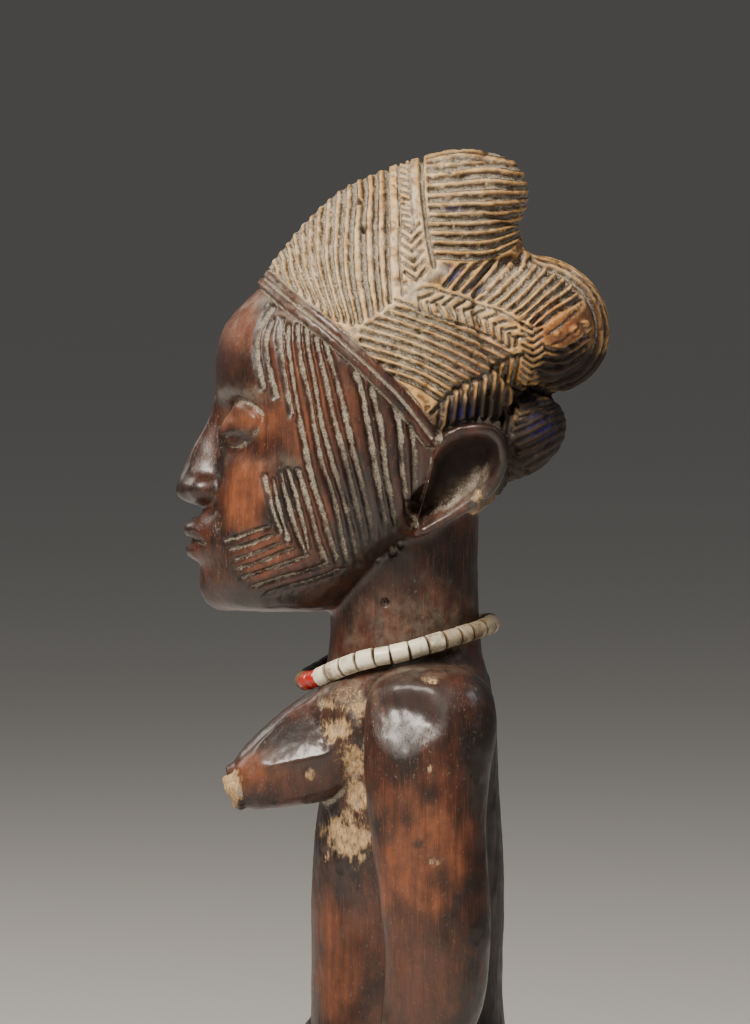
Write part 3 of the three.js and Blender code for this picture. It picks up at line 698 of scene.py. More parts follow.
def lips():
    """Full, closed lips on a gently swelling base."""
    return [
        knob([0, -39.2, MOUTH_HEIGHT], [12.5, 6.6, 9]),
        *both(knob([2.6, -43.4, MOUTH_HEIGHT + 2.2], [6.4, 4.9, 2.7])),
        knob([0, -42.9, MOUTH_HEIGHT - 2.4], [7.6, 4.9, 2.8]),
    ]


def head_blank():
    bunches = [
        knob(*CREST_KNOB), knob(*BUNCH_FILL), knob(*MIDDLE_BUNCH), *both(knob(*SIDE_BUNCH)),
        knob(*NAPE_BUNCH), knob(*NAPE_FOOT),
    ]
    nostrils = both(knob([5.4, -43.4, NOSE_BASE_HEIGHT + 3.2], [3.5, 4.3, 3]))
    chin = knob([0, -38.6, 180.4], [8.5, 6.3, 5.6])
    return mesh_of("head blank", [skull(), neck(), nose(), *nostrils, *lips(), chin, *both(ear()), *bunches])


def eye_reach(points):
    """How far out each point lies from the middle of the nearer eye, where the almond's edge is at 1."""
    across, height = face_places(points)
    e = (across - EYE_ACROSS) / EYE_HALF_WIDTH
    f = (height - EYE_HEIGHT - 0.12 * (across - EYE_ACROSS)) / EYE_HALF_HEIGHT
    corner = 1 + 0.35 * np.clip(np.abs(e), 0, 1.2) ** 2  # draws the almond's corners out
    return e, f, np.hypot(e, f * corner)


def hollow_out(mesh):
    """Rounds the face off and sinks the eye sockets and the bowls of the ears."""
    points = points_of(mesh)
    face = smoothstep(-24, -30, points[:, 1]) * smoothstep(176, 180, points[:, 2])
    face = face * smoothstep(240, 232, points[:, 2])
    lips_weight = smoothstep(8, 5, np.abs(points[:, 2] - MOUTH_HEIGHT))
    relax(mesh, face * (1 - 0.75 * lips_weight), 26)
    relax(mesh, np.ones(len(points)), 4)
    points, normals = points_of(mesh), normals_of(mesh)
    across, height = face_places(points)
    socket = np.exp(-(((across - EYE_ACROSS + 1) / 9) ** 2) - ((height - EYE_HEIGHT - 0.8) / 6) ** 2)
    socket = socket * (points[:, 1] < -15)
    points -= normals * (EYE_SOCKET_DEPTH * socket)[:, None]
    bowl = smoothstep(-0.4, 3.4, depth_inside(points[:, 1:], EAR_HOLLOW))
    outside = np.abs(points[:, 0]) > 21
    facing = smoothstep(0.2, 0.6, np.abs(normals[:, 0]))
    points[:, 0] -= np.sign(points[:, 0]) * EAR_HOLLOW_DEPTH * bowl * outside * facing
    set_points(mesh, points)


# Lines of the coiffure and the marks, on the head's side

BAND = [
    [-34, 249.8], [-30.5, 247.1], [-22, 240.4], [-15.2, 235.2], [-7.2, 228.1], [-0.5, 221.3], [5.5, 213.5],
]
BAND_WIDTH, BAND_RISE = 3.7, 1.15

FRONT_OUTLINE = [
    [-3.1, 242], [-3.3, 256], [-3.3, 284], [-46, 284], [-46, 262], [-29.3, 248.4], [-20.9, 241.7],
    [-14, 236.5], [-11.8, 235.2], [-9, 237],
]
FRONT_ROWS = [
    [[-3.6, 276], [-10.8, 270], [-17.6, 265], [-23.6, 261], [-28.6, 254.6]],
    [[-3.6, 255.9], [-12.2, 251.2], [-18.1, 249.7], [-22.8, 249.7], [-28, 249]],
    [[-3, 241.9], [-10.1, 237.9], [-14.7, 238.6], [-20.1, 242.8], [-27.5, 247.4]],
]
STRIP_EDGES = [[[-3.2, 280], [-3.4, 256], [-3, 242]], [[-1, 280], [-1.1, 256], [-0.5, 243.5]]]

UPRIGHT_BRAID = [
    [-0.9, 284], [3.4, 284], [3.4, 262], [4.4, 254.6], [5.4, 249.8], [4.6, 246], [2.6, 244.8], [-0.3, 243.4],
    [-1, 256],
]
UPRIGHT_SPINE = [[1.2, 257.5], [1.8, 252], [2.7, 245.5]]
UPRIGHT_COLUMN = [[0.9, 279], [0.9, 266], [1.1, 257]]
UPRIGHT_RIDGE = [[1.4, 280], [1.4, 266], [1.7, 258]]
PARTING = [[3.9, 279], [3.8, 265.7], [4.3, 259.5], [4.9, 255], [6, 249.2]]

CREST_OUTLINE = [
    [5, 284], [4.9, 257], [6.4, 249.9], [12, 250], [18, 250.4], [21.4, 252.8], [23.6, 255], [45, 262],
    [45, 284],
]
CREST_ROWS = [
    [[5.2, 271.6], [5.2, 251.6]], [[17.6, 273], [17.6, 251.4]], [[27.4, 270.6], [26.8, 256.2]],
]

BRAID_OUTLINE = [
    [-0.6, 243.3], [2.6, 244.9], [5, 245.6], [9.5, 244.2], [15.7, 242.3], [19.7, 241.2], [23.8, 239.1],
    [27, 237], [25.6, 233.6], [22, 232.4], [18.6, 234.3], [13.6, 236.6], [5.9, 239.1], [1.6, 241.2],
]
BRAID_SPINE = [
    [2, 243.3], [5.7, 241.8], [9.5, 241.1], [13.6, 239.8], [17.8, 238.1], [22, 235.6], [24.4, 233.6],
]
BRAID_EDGE = [
    [2.6, 245.2], [5, 245.6], [9.5, 244.2], [15.7, 242.3], [19.7, 241.2], [23.8, 239.1], [27.8, 236.8],
]
BRAID_FOOT = [[-2, 242.6], [1.6, 241.2], [5.9, 239.1], [13.6, 236.6], [18.6, 234.3], [22, 232.4]]

SIDE_OUTLINE = [
    [-9, 236.9], [-2, 241], [1.6, 240.9], [5.9, 238.8], [13.6, 236.3], [18.6, 234], [22, 232.2],
    [24.6, 231.3], [21.5, 229.8], [15.7, 226.4], [12.4, 225], [9.5, 222.7], [5.2, 219], [0.9, 222.7],
    [-5.9, 229.6], [-11.7, 234.9],
]
SIDE_ROWS = [[[-9, 243.4], [-9, 228.4]], [[6, 238], [1, 225.6]], [[24, 230], [8.5, 220.6]]]
SEAM = [[25, 231.2], [21.5, 229.8], [15.7, 226.3], [12.4, 225], [9.5, 222.7], [5.4, 218.8]]

BUNCH_OUTLINE = [
    [5, 245.8], [9.5, 244.5], [15.7, 242.6], [19.7, 241.5], [23.8, 239.4], [27.8, 237.2], [31, 237.8],
    [38, 240], [46, 244], [40, 256], [28, 254], [21, 251.5], [14, 250], [7.6, 249.4],
]
BUNCH_ROWS = [
    [[8, 245], [15.2, 242.6], [22.5, 240], [28.6, 237.2]],
    [[9.8, 247.2], [18.3, 245.3], [26.4, 243], [31.8, 240]],
    [[13, 251], [24, 251.2], [33, 250], [40, 244.6]],
]
BUNCH_FOOT_OUTLINE = [
    [29.6, 236.2], [33, 237], [42, 239], [48, 232], [36, 219], [30, 215.8], [27.4, 217], [29.6, 228],
]
BUNCH_FOOT_ROWS = [[[29.8, 232.6], [28.6, 220]], [[34.6, 231.8], [32, 220.6]], [[41, 236], [35.6, 222]]]

BUNCH_WORN = [
    [[29.6, 235.2], [33, 237.2], [37.4, 241]], [[30.2, 233], [34, 234.6], [38.6, 238.2]],
    [[30.4, 231.4], [35, 232], [39.6, 234.8]],
]
NUBS = [[36.1, 236.1, 1.5], [38.4, 237.6, 1.1], [32.1, 235.8, 0.9]]  # y, z and how wide
NUB_HEIGHT = 0.8
BUNCH_GAP = [
    [31.5, 249.6], [36, 248.6], [39.6, 245], [41.4, 240.8], [41.5, 236.8], [40.4, 232.6], [38.8, 229.6],
]
TURNED_BRAID = [[27, 237.4], [27.3, 229], [25.8, 222.1], [24, 215.8]]
TURNED_BRAID_WIDTH = 4.8

PLAIT_OUTLINE = [
    [5.6, 218.4], [9.5, 222.3], [12.4, 224.6], [15.7, 225.9], [21.5, 229.4], [24.8, 230.8], [25, 226],
    [23.4, 214], [6, 214],
]
PLAIT_ROWS = [[[8, 222.8], [24, 231.6]], [[6.6, 214], [22.2, 214]]]

NAPE_OUTLINE = [
    [22, 217.4], [26.6, 219], [31, 221.4], [42, 222], [42, 206], [28, 201], [16, 199], [21, 206], [23, 212],
]
NAPE_ROWS = [[[21, 215.2], [26.8, 205.6]], [[36, 221], [37, 211]]]
NAPE_FRONT_OUTLINE = [[22.6, 213.6], [27.2, 205.4], [28, 201], [14, 197], [19.4, 204], [21.6, 210]]
NAPE_FRONT_ROWS = [[[18, 214], [18, 200]], [[27.6, 209], [27, 196]]]

HAIR_OUTLINE = [
    [-46, 284], [-46, 262], [-33, 250.6], [-29.3, 248.1], [-21, 241.4], [-14.1, 236.2], [-6, 229.1],
    [0.8, 222.3], [6.4, 215], [7.4, 214], [23, 214], [20, 205], [13, 198], [30, 190], [50, 205], [50, 284],
]

LONG_MARKS = [
    [[-28.6, 241.1], [-31.3, 236.2], [-31.7, 229.9], [-30.7, 223.8]],
    [[-28.6, 238.4], [-29.9, 234.1], [-29.5, 227.8], [-28, 222.2]],
    [[-26.4, 238.4], [-26.7, 234.1], [-25.9, 225.8], [-24.3, 218.4]],
    [[-25.1, 237.2], [-25.3, 233.2], [-24.3, 224.5], [-22.6, 216.6], [-20.1, 205], [-18, 197.5],
     [-14.7, 187.1]],
    [[-23, 237], [-22.4, 229.9], [-20.5, 221.6], [-18, 209.1], [-15.5, 201.6], [-12.6, 187.1]],
    [[-21.3, 236.6], [-20.5, 229.9], [-18.6, 219.1], [-15.1, 205.8], [-12.2, 195.4], [-10.1, 186.2]],
    [[-18.8, 234.5], [-16.4, 222.4], [-12.6, 207.9], [-10.5, 199.1], [-8, 187.1]],
    [[-17, 233.4], [-13.9, 222.4], [-10.9, 209.1], [-8.4, 199.1], [-6.4, 187.1]],
    [[-10.7, 227.2], [-9.3, 223.7], [-8, 215.8], [-6.4, 207.5], [-4.7, 198.3], [-2.6, 188.3]],
    [[-7.4, 223.9], [-5.1, 215.8], [-4.3, 207], [-2.6, 197.5], [-1, 190]],
    [[-2.2, 219.7], [-1, 215.8], [-0.5, 208.3], [0.7, 198.7], [1.5, 194.6]],
    [[1.3, 215.8], [2.2, 210.8], [2.2, 205], [1.9, 198.3]],
    [[-30.3, 205], [-28.8, 198.3], [-26.7, 192.9]],
    [[-28.6, 204.1], [-27.6, 198.7], [-25.3, 191.2]],
    [[-26.7, 205.4], [-25.5, 200], [-23, 192.5], [-21.3, 188.7]],
    [[-25.3, 206.2], [-23.4, 200.4], [-20.9, 189.6]],
    [[-23, 206.2], [-21.3, 200.4], [-19.3, 193.3], [-16.8, 186.7]],
]
CHEEK_MARKS = [
    [[-39.6, 190.4], [-34.2, 192.5], [-28.4, 194.4]],
    [[-38.8, 188.7], [-33.4, 190.4], [-27.2, 192.5]],
    [[-38, 186.5], [-32.2, 188.3], [-25.9, 190.6]],
    [[-37.4, 184.6], [-30.5, 186.6], [-23, 189.8]],
    [[-36.4, 182.6], [-27.6, 185.2], [-20.1, 188.3]],
    [[-34, 180.4], [-24.7, 183.3], [-15.9, 186.5]],
    [[-31.3, 178.4], [-22.2, 181.7], [-12.2, 185.4]],
]
JAW_MARKS = [[[-27 + 2.6 * i, 177.6 + 0.75 * i], [-25.6 + 2.6 * i, 180.6 + 0.8 * i]] for i in range(7)]
LONG_MARK_WIDTH, CHEEK_MARK_WIDTH, JAW_MARK_WIDTH = 2.4, 1.5, 0.8

WORMHOLES = [[-9.8, 263.1], [-8.7, 257.6], [-4.3, 177.6]]
WORMHOLE_WIDTH, WORMHOLE_DEPTH = 1.1, 1.3
SCOOP_SIZE = 4.6
NICK_SIZE, NICK_DEPTH = 2.2, 0.45


GROOVE_SHARE = 0.84  # of the way from one plait to the next
TOP_PITCH = 2.3  # between the plaits that run from front to back


def weight_inside(carving, outline, feather=0.5):
    return smoothstep(-feather, feather, depth_inside(carving.side, outline))


def belongs(points, *knobs):
    """How much each point lies on the surface of one of these knobs, from 0 to 1."""
    near = np.full(len(points), np.inf)
    for centre, radii, lean in knobs:
        away = points - centre
        away[:, 1] += lean * away[:, 2]
        near = np.minimum(near, np.abs(np.linalg.norm(away / radii, axis=1) - 1))
    return smoothstep(0.16, 0.05, near)


def carve_coiffure(carving, rise, depth):
    """The plaits, then the braids and seams between them and the band along the hairline."""
    points, half = carving.points, folded(carving.points)
    in_ear_outline = depth_inside(carving.side, EAR_OUTLINE) > -1.2
    ear = (half[:, 0] > 22.5) & in_ear_outline & (points[:, 2] < EAR_TOP + 0.6)
    hair = weight_inside(carving, HAIR_OUTLINE, 0.7) * ~ear
    on_neck = smoothstep(204, 200, points[:, 2]) * smoothstep(25, 18, np.hypot(points[:, 0], points[:, 1]))
    hair = hair * (1 - on_neck)
    bunches = belongs(half, MIDDLE_BUNCH, SIDE_BUNCH, NAPE_BUNCH)
    carving.rise += hair * rise * (1 - 0.9 * bunches)
    carving.mark("hair", hair)

    # On the middle bunch and on top of the crest the plaits run from front to back.
    middle = belongs(half, MIDDLE_BUNCH) * smoothstep(9.5, 7.5, half[:, 0]) * (points[:, 1] > 27)
    top = weight_inside(carving, CREST_OUTLINE) * smoothstep(7.6, 6.4, half[:, 0])
    top = top * smoothstep(19, 15, points[:, 1]) * smoothstep(262, 266, points[:, 2])
    outer = 1 - np.maximum(middle, top)
    strand = 1 - np.abs(np.mod((points[:, 0] + 0.3 * carving.uneven) / TOP_PITCH, 1) - 0.5) * 2
    carve_phase(carving, strand, (0.7 * middle + 0.6 * top) * hair, depth)

    panels = [
        (FRONT_OUTLINE, fan(FRONT_ROWS, 14), 2.2, 1.0),
        (CREST_OUTLINE, fan(CREST_ROWS, 11), 2.0, 1.0),
        (SIDE_OUTLINE, fan(SIDE_ROWS, 9), 1.85, 0.9),
        (BUNCH_OUTLINE, fan(BUNCH_ROWS, 12), 2.0, 1.0),
        (BUNCH_FOOT_OUTLINE, fan(BUNCH_FOOT_ROWS, 7), 2.0, 0.9),
        (PLAIT_OUTLINE, fan(PLAIT_ROWS, 9), 2.0, 1.0),
        (NAPE_OUTLINE, fan(NAPE_ROWS, 7), 1.5, 0.4),
        (NAPE_FRONT_OUTLINE, fan(NAPE_FRONT_ROWS, 8), 1.4, 0.4),
    ]
    over_top = 0.35 + 0.65 * smoothstep(2, 9, half[:, 0])  # the grooves run out where they meet at the top
    for outline, lines, pitch, share in panels:
        within = weight_inside(carving, outline) * hair * outer
        carving.cut(
            lines, GROOVE_SHARE * pitch, share * depth, within=within, sharp=0.7, fade=over_top,
            dust_from=0.45, crowding=0.78)
    carve_braids(carving, hair, outer, depth)
    carve_seams(carving, hair, depth)
    carve_band(carving, hair, rise)


def carve_braids(carving, hair, outer, depth):
    """The herringbone of the braids, with its ticks on both sides of each braid's spine."""
    upright = weight_inside(carving, UPRIGHT_BRAID, 0.3) * hair
    carving.cut(ticks(UPRIGHT_COLUMN, 1.25, (-0.5, -1.7)), 0.85, 0.6 * depth, within=upright)
    for away in ((-1.9, -2.2), (-1.9, 2.2)):
        carving.cut(ticks(UPRIGHT_SPINE, 2.0, away), 1.05, 0.75 * depth, within=upright)
    carving.cut([smooth_line(UPRIGHT_RIDGE)], 0.7, 0.4 * depth, within=upright)
    braid = weight_inside(carving, BRAID_OUTLINE, 0.3) * hair
    carving.cut(ticks(BRAID_SPINE, 1.9, (1.7, -2.4)), 1.1, 0.75 * depth, within=braid)
    carving.cut(ticks(BRAID_SPINE, 2.4, (1.9, 1.9)), 1.0, 0.75 * depth, within=braid)
    from_spine = line_distance(carving.side, smooth_line(TURNED_BRAID))
    turned_braid = smoothstep(0.3, -0.3, from_spine - TURNED_BRAID_WIDTH / 2) * hair * outer
    for away in (-2.2, 2.2):
        carving.cut(ticks(TURNED_BRAID, 1.5, (-1.3, away)), 0.9, 0.7 * depth, within=turned_braid)


def carve_seams(carving, hair, depth):
    """The worn bunch with its nubs, the gap behind it and the lines between the panels."""
    beside = hair * smoothstep(7, 9, np.abs(carving.points[:, 0]))
    carving.cut(smooth_lines(BUNCH_WORN), 0.9, 0.35 * depth, within=beside, taper=1.0, dust=0.4)
    chosen, gap = carving.cut([smooth_line(BUNCH_GAP)], 2.4, 1.7 * depth, within=beside, dust=0.2)
    # Painted shade in the deep gap behind the bunch.
    carving.mark("soot", 0.9 * gap, chosen)
    for y, z, width in NUBS:
        away = np.hypot(carving.side[:, 0] - y, carving.side[:, 1] - z)
        carving.rise += NUB_HEIGHT * beside * smoothstep(width, 0.3 * width, away)
    carving.cut(smooth_lines([*STRIP_EDGES, BRAID_FOOT]), 0.9, 0.8 * depth, within=hair)
    carving.cut(smooth_lines([PARTING, SEAM]), 1.5, 1.4 * depth, within=hair)
    carving.ridge([smooth_line(BRAID_EDGE)], 1.3, 0.35)
    carving.cut([smooth_line(np.add(BRAID_EDGE, [0.1, -0.75]))], 0.5, 0.35 * depth, within=hair)


def carve_band(carving, hair, rise):
    """The band along the hairline, with a groove in its middle and one on either side."""
    points = carving.points
    band = line_distance(carving.side, smooth_line(BAND))
    on_band = smoothstep(BAND_WIDTH / 2 + 0.35, BAND_WIDTH / 2 - 0.15, band)
    carving.rise += on_band * (BAND_RISE - hair * rise)
    carving.rise -= smoothstep(0.55, 0.1, band) * 0.6 * on_band
    rim = smoothstep(0.45, 0.0, np.abs(band - BAND_WIDTH / 2 - 0.2)) * (points[:, 2] > 212)
    carving.rise -= 0.5 * rim
    carving.mark("dust", 0.9 * smoothstep(0.6, 0.15, band) * (points[:, 2] > 213))
    carving.mark("dust", 0.75 * rim)
    carving.masks["hair"] *= 1 - on_band


def carve_phase(carving, groove, within, depth):
    """Ridges side by side, where groove is 1 in the middle of each groove and 0 on each ridge."""
    floor = np.clip(groove, 0, 1) ** 1.7 * within
    carving.rise -= depth * floor * (1 + 0.3 * carving.uneven)
    carving.mark("dust", smoothstep(0.25, 0.7, floor))
    # Patina and painted shade darken each groove's sides.
    carving.mark("flank", np.clip(4 * floor * (1 - floor), 0, 1))


def carve_face(carving, depth):
    """The marks on temples and cheeks, and the finer forms of the eyes and the mouth."""
    points = carving.points
    e, f, reach = eye_reach(points)
    facing = smoothstep(-14, -18, points[:, 1])
    cheek = smoothstep(7, 9, np.abs(points[:, 0])) * (points[:, 2] < 243) * (points[:, 1] < 6)
    within = cheek * np.where(facing > 0, smoothstep(1.25, 1.45, reach), 1)
    within = within * smoothstep(-0.8, -0.5, carving.normals[:, 2])  # they stop short of the jaw's underside
    carving.cut(
        smooth_lines(LONG_MARKS), LONG_MARK_WIDTH, depth, within=within, sharp=0.65, dust=0.8,
        dust_from=0.38, crowding=0.9)
    carving.cut(
        smooth_lines(CHEEK_MARKS), CHEEK_MARK_WIDTH, depth, within=within, sharp=0.8, taper=1.0, dust=0.45,
        dust_from=0.5)
    carving.cut(
        smooth_lines(JAW_MARKS), JAW_MARK_WIDTH, 0.3 * depth, within=within, taper=1.0, dust=0.6)

    dome = np.sqrt(np.clip(1 - reach**2, 0, 1))
    slit = -0.42 - 0.18 * (1 - e**2)
    upper_lid = smoothstep(-0.05, 0.05, f - slit) * smoothstep(1.04, 0.96, reach)
    rim = np.exp(-(((reach - 1.0) / 0.13) ** 2)) * smoothstep(0.0, -0.25, f)
    crease = np.exp(-(((reach - 1.12) / 0.08) ** 2)) * smoothstep(-0.1, 0.3, f)
    carving.rise += facing * (3.0 * dome**0.9 + 0.6 * upper_lid + 0.6 * rim - 0.4 * crease)
    corners = np.clip(1 - np.abs(f - slit) / 0.14, 0, 1) * smoothstep(1.05, 0.95, reach)
    # Painted shade along the slit between the lids.
    carving.mark("soot", 0.9 * facing * corners)
    carving.mark("dust", 0.15 * facing * crease)

    brow_height = BROW_HEIGHT + 1.5 - 0.012 * (carving.front[:, 0] - 12) ** 2
    brow = np.exp(-(((points[:, 2] - brow_height) / 2.4) ** 2)) * smoothstep(27, 18, carving.front[:, 0])
    carving.rise += 0.8 * facing * brow * smoothstep(0, 6, carving.front[:, 0])
    mouth = [[0, MOUTH_HEIGHT - 0.2], [4, MOUTH_HEIGHT + 0.1], [9, MOUTH_HEIGHT - 0.6]]
    lips_only = facing * (points[:, 1] < -36)
    carving.cut([smooth_line(mouth)], 1.3, 0.9, flat=carving.front, within=lips_only, dust=0.1)
    philtrum = [[0, MOUTH_HEIGHT + 5], [0.05, NOSE_BASE_HEIGHT - 1]]
    carving.cut([np.array(philtrum)], 2.4, 0.45, flat=carving.front, within=lips_only, dust=0.0)


def wear(carving, tool_depth):
    """Scoops of the knife on smooth surfaces, nicks in the plaits and wormholes."""
    points = carving.points
    smooth = 1 - carving.masks["hair"]
    scooped = scoops(points * [1, 1, 0.55] + 0.9 * carving.uneven[:, None], SCOOP_SIZE, 21)
    carving.rise += tool_depth * smooth * (scooped - 0.4)
    carving.rise += 0.3 * tool_depth * soft_noise(points * [1, 1, 0.3], 1.4, 22)
    carving.rise += 0.08 * carving.masks["hair"] * soft_noise(points, 0.9, 24)
    nick = smoothstep(0.5, 0.85, soft_noise(points, NICK_SIZE, 23)) * carving.masks["hair"]
    carving.rise -= NICK_DEPTH * nick
    for y, z in WORMHOLES:
        hole = smoothstep(WORMHOLE_WIDTH, 0.4, np.hypot(points[:, 1] - y, points[:, 2] - z))
        hole = hole * (points[:, 0] > 0)
        carving.rise -= WORMHOLE_DEPTH * hole
        # The holes are darkened inside with painted shade.
        carving.mark("soot", hole)


# Patches on the surface as [y, z, half width, half height, strength]

RAW_PATCHES = [
    [-14, 150.6, 6.4, 3.4, 1.0], [-11.4, 144.6, 3.8, 8, 1.1], [-10.2, 136.4, 3.2, 4.6, 1.0],
    [-12.4, 126.8, 6, 6.4, 1.2], [-16.4, 155.6, 3, 1.4, 0.8], [-9.8, 154.4, 2.6, 4.2, 0.9],
    [-12.4, 156.6, 7, 4.2, 0.6], [-37.6, 136.8, 2.6, 5.4, 1.4], [-20.6, 141.2, 1.3, 1.8, 0.9],
    [5.7, 124.4, 2, 1.4, 0.7], [5.7, 162.4, 2.6, 0.9, 0.9], [5.2, 144.2, 0.8, 1.4, 0.8],
    [15.6, 200.6, 1.8, 2, 0.9],
]
# Soot and dark patina, partly painted shade: the patches under the jaw and on the neck, at the nape, under
# the bunches, down the torso's back and over the whole lower body paint shade.
SOOT_AND_SHADE_PATCHES = [
    [4, 156, 12, 9, 0.8], [-24, 147, 12, 7, 0.8], [-38, 229, 5, 8, 0.6], [-32, 178, 12, 4, 0.9],
    [30, 214, 16, 10, 1.4], [36, 228, 9, 7, 1.2], [26, 205, 12, 11, 1.7], [0, 62, 60, 60, 0.5],
    [14, 219.5, 10, 5, 1.0], [4, 203, 4, 8, 0.7], [-9, 199, 8, 11, 0.8], [23, 120, 9, 75, 1.7],
    [-14, 122, 6, 12, 0.5], [-48, 200, 5, 14, 0.6], [-5, 190, 9, 12, 0.7],
    [2.6, 128, 1.2, 0.8, 1.2], [10, 112.8, 0.8, 1.6, 1.2], [43, 240, 4, 14, 0.4],
]
WARM_PATCHES = [
    [3, 126, 9, 15, 0.8], [1, 100, 10, 22, 0.35], [-14, 98, 7, 18, 0.5], [-34, 217, 8, 4, 0.7],
    [-34, 201, 6, 9, 0.9], [-30, 142, 6, 5, 0.6], [-35, 236, 7, 8, 0.45], [-21, 223, 9, 13, 0.55],
    [14, 231, 10, 6, 0.6], [33, 238, 7, 6, 0.75], [22, 264, 5, 7, 0.6], [-20, 195, 5, 8, 0.4],
    [-30, 188, 8, 5, 0.5],
]
# The patch at the tops of the temple marks, at [-28.4, 237.6], is whitish powder that is also a painted
# highlight.
POWDER_PATCHES = [
    [-16, 250, 22, 16, 1.0], [2, 256, 5, 22, 1.0], [12, 241, 14, 4, 0.8], [-4, 235, 9, 7, 1.0],
    [-28.4, 237.6, 4.6, 4, 0.7], [-34, 222.5, 12, 1.8, 0.6], [-26, 208, 12, 1.6, 0.35], [10, 270, 12, 4, 0.5],
    [12, 202, 6, 6, 0.8], [4, 170, 16, 12, 0.45], [-14, 160, 9, 5, 0.6], [24, 247, 12, 5, 0.65],
    [13, 262, 9, 10, 0.7], [12, 232, 12, 7, 0.6], [33, 246, 9, 5, 0.5],
]
MATTE_PATCHES = [
    [3, 160.4, 11, 3.6, 0.6], [-11, 156, 7, 4.6, 0.8], [-36, 239, 5, 7, 0.7], [25, 120, 8, 75, 0.45],
]
INDIGO_PATCHES = [
    [9.4, 247.8, 2.8, 1.6, 1.2], [14.5, 246, 2, 1.2, 0.8], [10, 262, 3, 0.8, 0.7], [12, 219, 3, 2.4, 0.9],
    [29.5, 215, 3.4, 3, 0.9], [27, 221, 2, 2, 0.6],
]
PATCH_SHIFT = [2.5, 4]  # how far the patches of the right side lie from those of the left
RAW_DEPTH = 0.25  # how far the wood has crumbled in the bare patches


def patches(carving, listed, seed, size=3.0, raggedness=0.5):
    """Patches from 0 to 1 with ragged edges."""
    total = np.zeros(len(carving.points))
    ragged = soft_noise(carving.points, size, seed, 4)
    right = carving.points[:, 0] < 0
    y, z = carving.side[:, 0] + PATCH_SHIFT[0] * right, carving.side[:, 1] + PATCH_SHIFT[1] * right
    for middle_y, middle_z, half_width, half_height, strength in listed:
        away = np.hypot((y - middle_y) / half_width, (z - middle_z) / half_height)
        total = np.maximum(total, strength * smoothstep(1.3, 0.3, away + raggedness * ragged))
    return np.clip(total, 0, 1)


def age(carving):
    """Bare, sooty, warm, dusty and blue patches, with painted shade among the sooty ones and in the ears'
    bowls, the same on the head and the body.
    """
    hair = carving.masks["hair"]
    off_arms = np.where(carving.points[:, 1] < -5, smoothstep(25.5, 23, np.abs(carving.points[:, 0])), 1)
    carving.mark("raw", patches(carving, RAW_PATCHES, 31, 2.6, 0.34) * off_arms)
    carving.mark("soot", patches(carving, SOOT_AND_SHADE_PATCHES, 32, 6))
    y, z = carving.side[:, 0], carving.side[:, 1]
    in_ear = smoothstep(0.4, 2.4, depth_inside(carving.side, EAR_HOLLOW))
    in_ear = in_ear * (np.abs(carving.points[:, 0]) > 18)
    upper = smoothstep(-4, 3, z - 205 - 0.9 * (y - 12))
    # Painted shade in the upper part of the ears' bowls, under the rim; dust lies in the lower part.
    carving.mark("soot", in_ear * upper)
    carving.mark("matte", np.maximum(in_ear, hair * carving.masks["soot"]))
    carving.mark("matte", patches(carving, MATTE_PATCHES, 37, 3))
    carving.mark("dust", 0.75 * in_ear * (1 - upper))
    carving.mark("warm", patches(carving, WARM_PATCHES, 33, 6))
    carving.mark("powder", patches(carving, POWDER_PATCHES, 35, 3))
    carving.mark("indigo", patches(carving, INDIGO_PATCHES, 34, 1.6) * hair)
    crumbled = soft_noise(carving.points * [1, 1, 0.4], 0.9, 36, 3)
    carving.rise -= RAW_DEPTH * carving.masks["raw"] * (1 + 1.6 * crumbled)


def hollows(mesh):
    """How deep each point lies in a crease, from 0 to 1, by how far smoothing would lift it."""
    points, normals, means = points_of(mesh), normals_of(mesh), averager(mesh)
    blurred = points.copy()
    for _ in range(14):
        blurred += 0.6 * (means(blurred) - blurred)
    return np.einsum("ij,ij->i", blurred - points, normals)


# The soot and flank masks hold painted shade as well as soot and patina.
MASKS = ["dust", "flank", "hair", "powder", "raw", "soot", "warm", "matte", "indigo", "crease", "crown"]


def finish_carving(mesh, carving, most):
    """Moves the surface, keeps the masks on it and brings it under a number of triangles."""
    set_points(mesh, carving.points + carving.normals * carving.rise[:, None])
    lift = hollows(mesh)
    carving.mark("crease", smoothstep(0.02, 0.28, lift))
    carving.mark("crown", smoothstep(0.02, 0.2, -lift))
    for name, values in carving.masks.items():
        keep_values(mesh, name, np.clip(values, 0, 1))
    triangles = sum(len(face.vertices) - 2 for face in mesh.polygons)
    return with_modifiers(mesh, ("DECIMATE", {"ratio": min(1.0, most / triangles)}))


def piece(name, mesh, material, node):
    """A mesh in metres becomes a smooth piece that rides on the body and stands for a CAD node."""
    mesh.materials.clear()
    mesh.materials.append(material)
    mesh.polygons.foreach_set("use_smooth", [True] * len(mesh.polygons))
    made = bpy.data.objects.new(name, mesh)
    bpy.context.scene.collection.objects.link(made)
    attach(made, BODY)
    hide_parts(node)


def carved_piece(name, mesh, material):
    """A part of the carving in drawn millimetres above the soles becomes a piece."""
    points = points_of(mesh)
    points[:, 2] += PLINTH_HEIGHT
    set_points(mesh, points * MM)
    mesh.name = name
    piece(name, mesh, material, "figure")


ROUGH_GRAIN = 0.5  # the smallest form before the sockets and the ears' bowls are sunk


def make_head(settings):
    first = fused(head_blank(), ROUGH_GRAIN, 4)
    hollow_out(first)
    mesh = fused(first, 1000 * settings.head_grain, 2)
    carving = Carving(mesh, MASKS)
    carve_coiffure(carving, 1000 * settings.hair_rise, 1000 * settings.hair_depth)
    carve_face(carving, 1000 * settings.mark_depth)
    wear(carving, 1000 * settings.tool_depth)
    age(carving)
    return finish_carving(mesh, carving, settings.triangles)


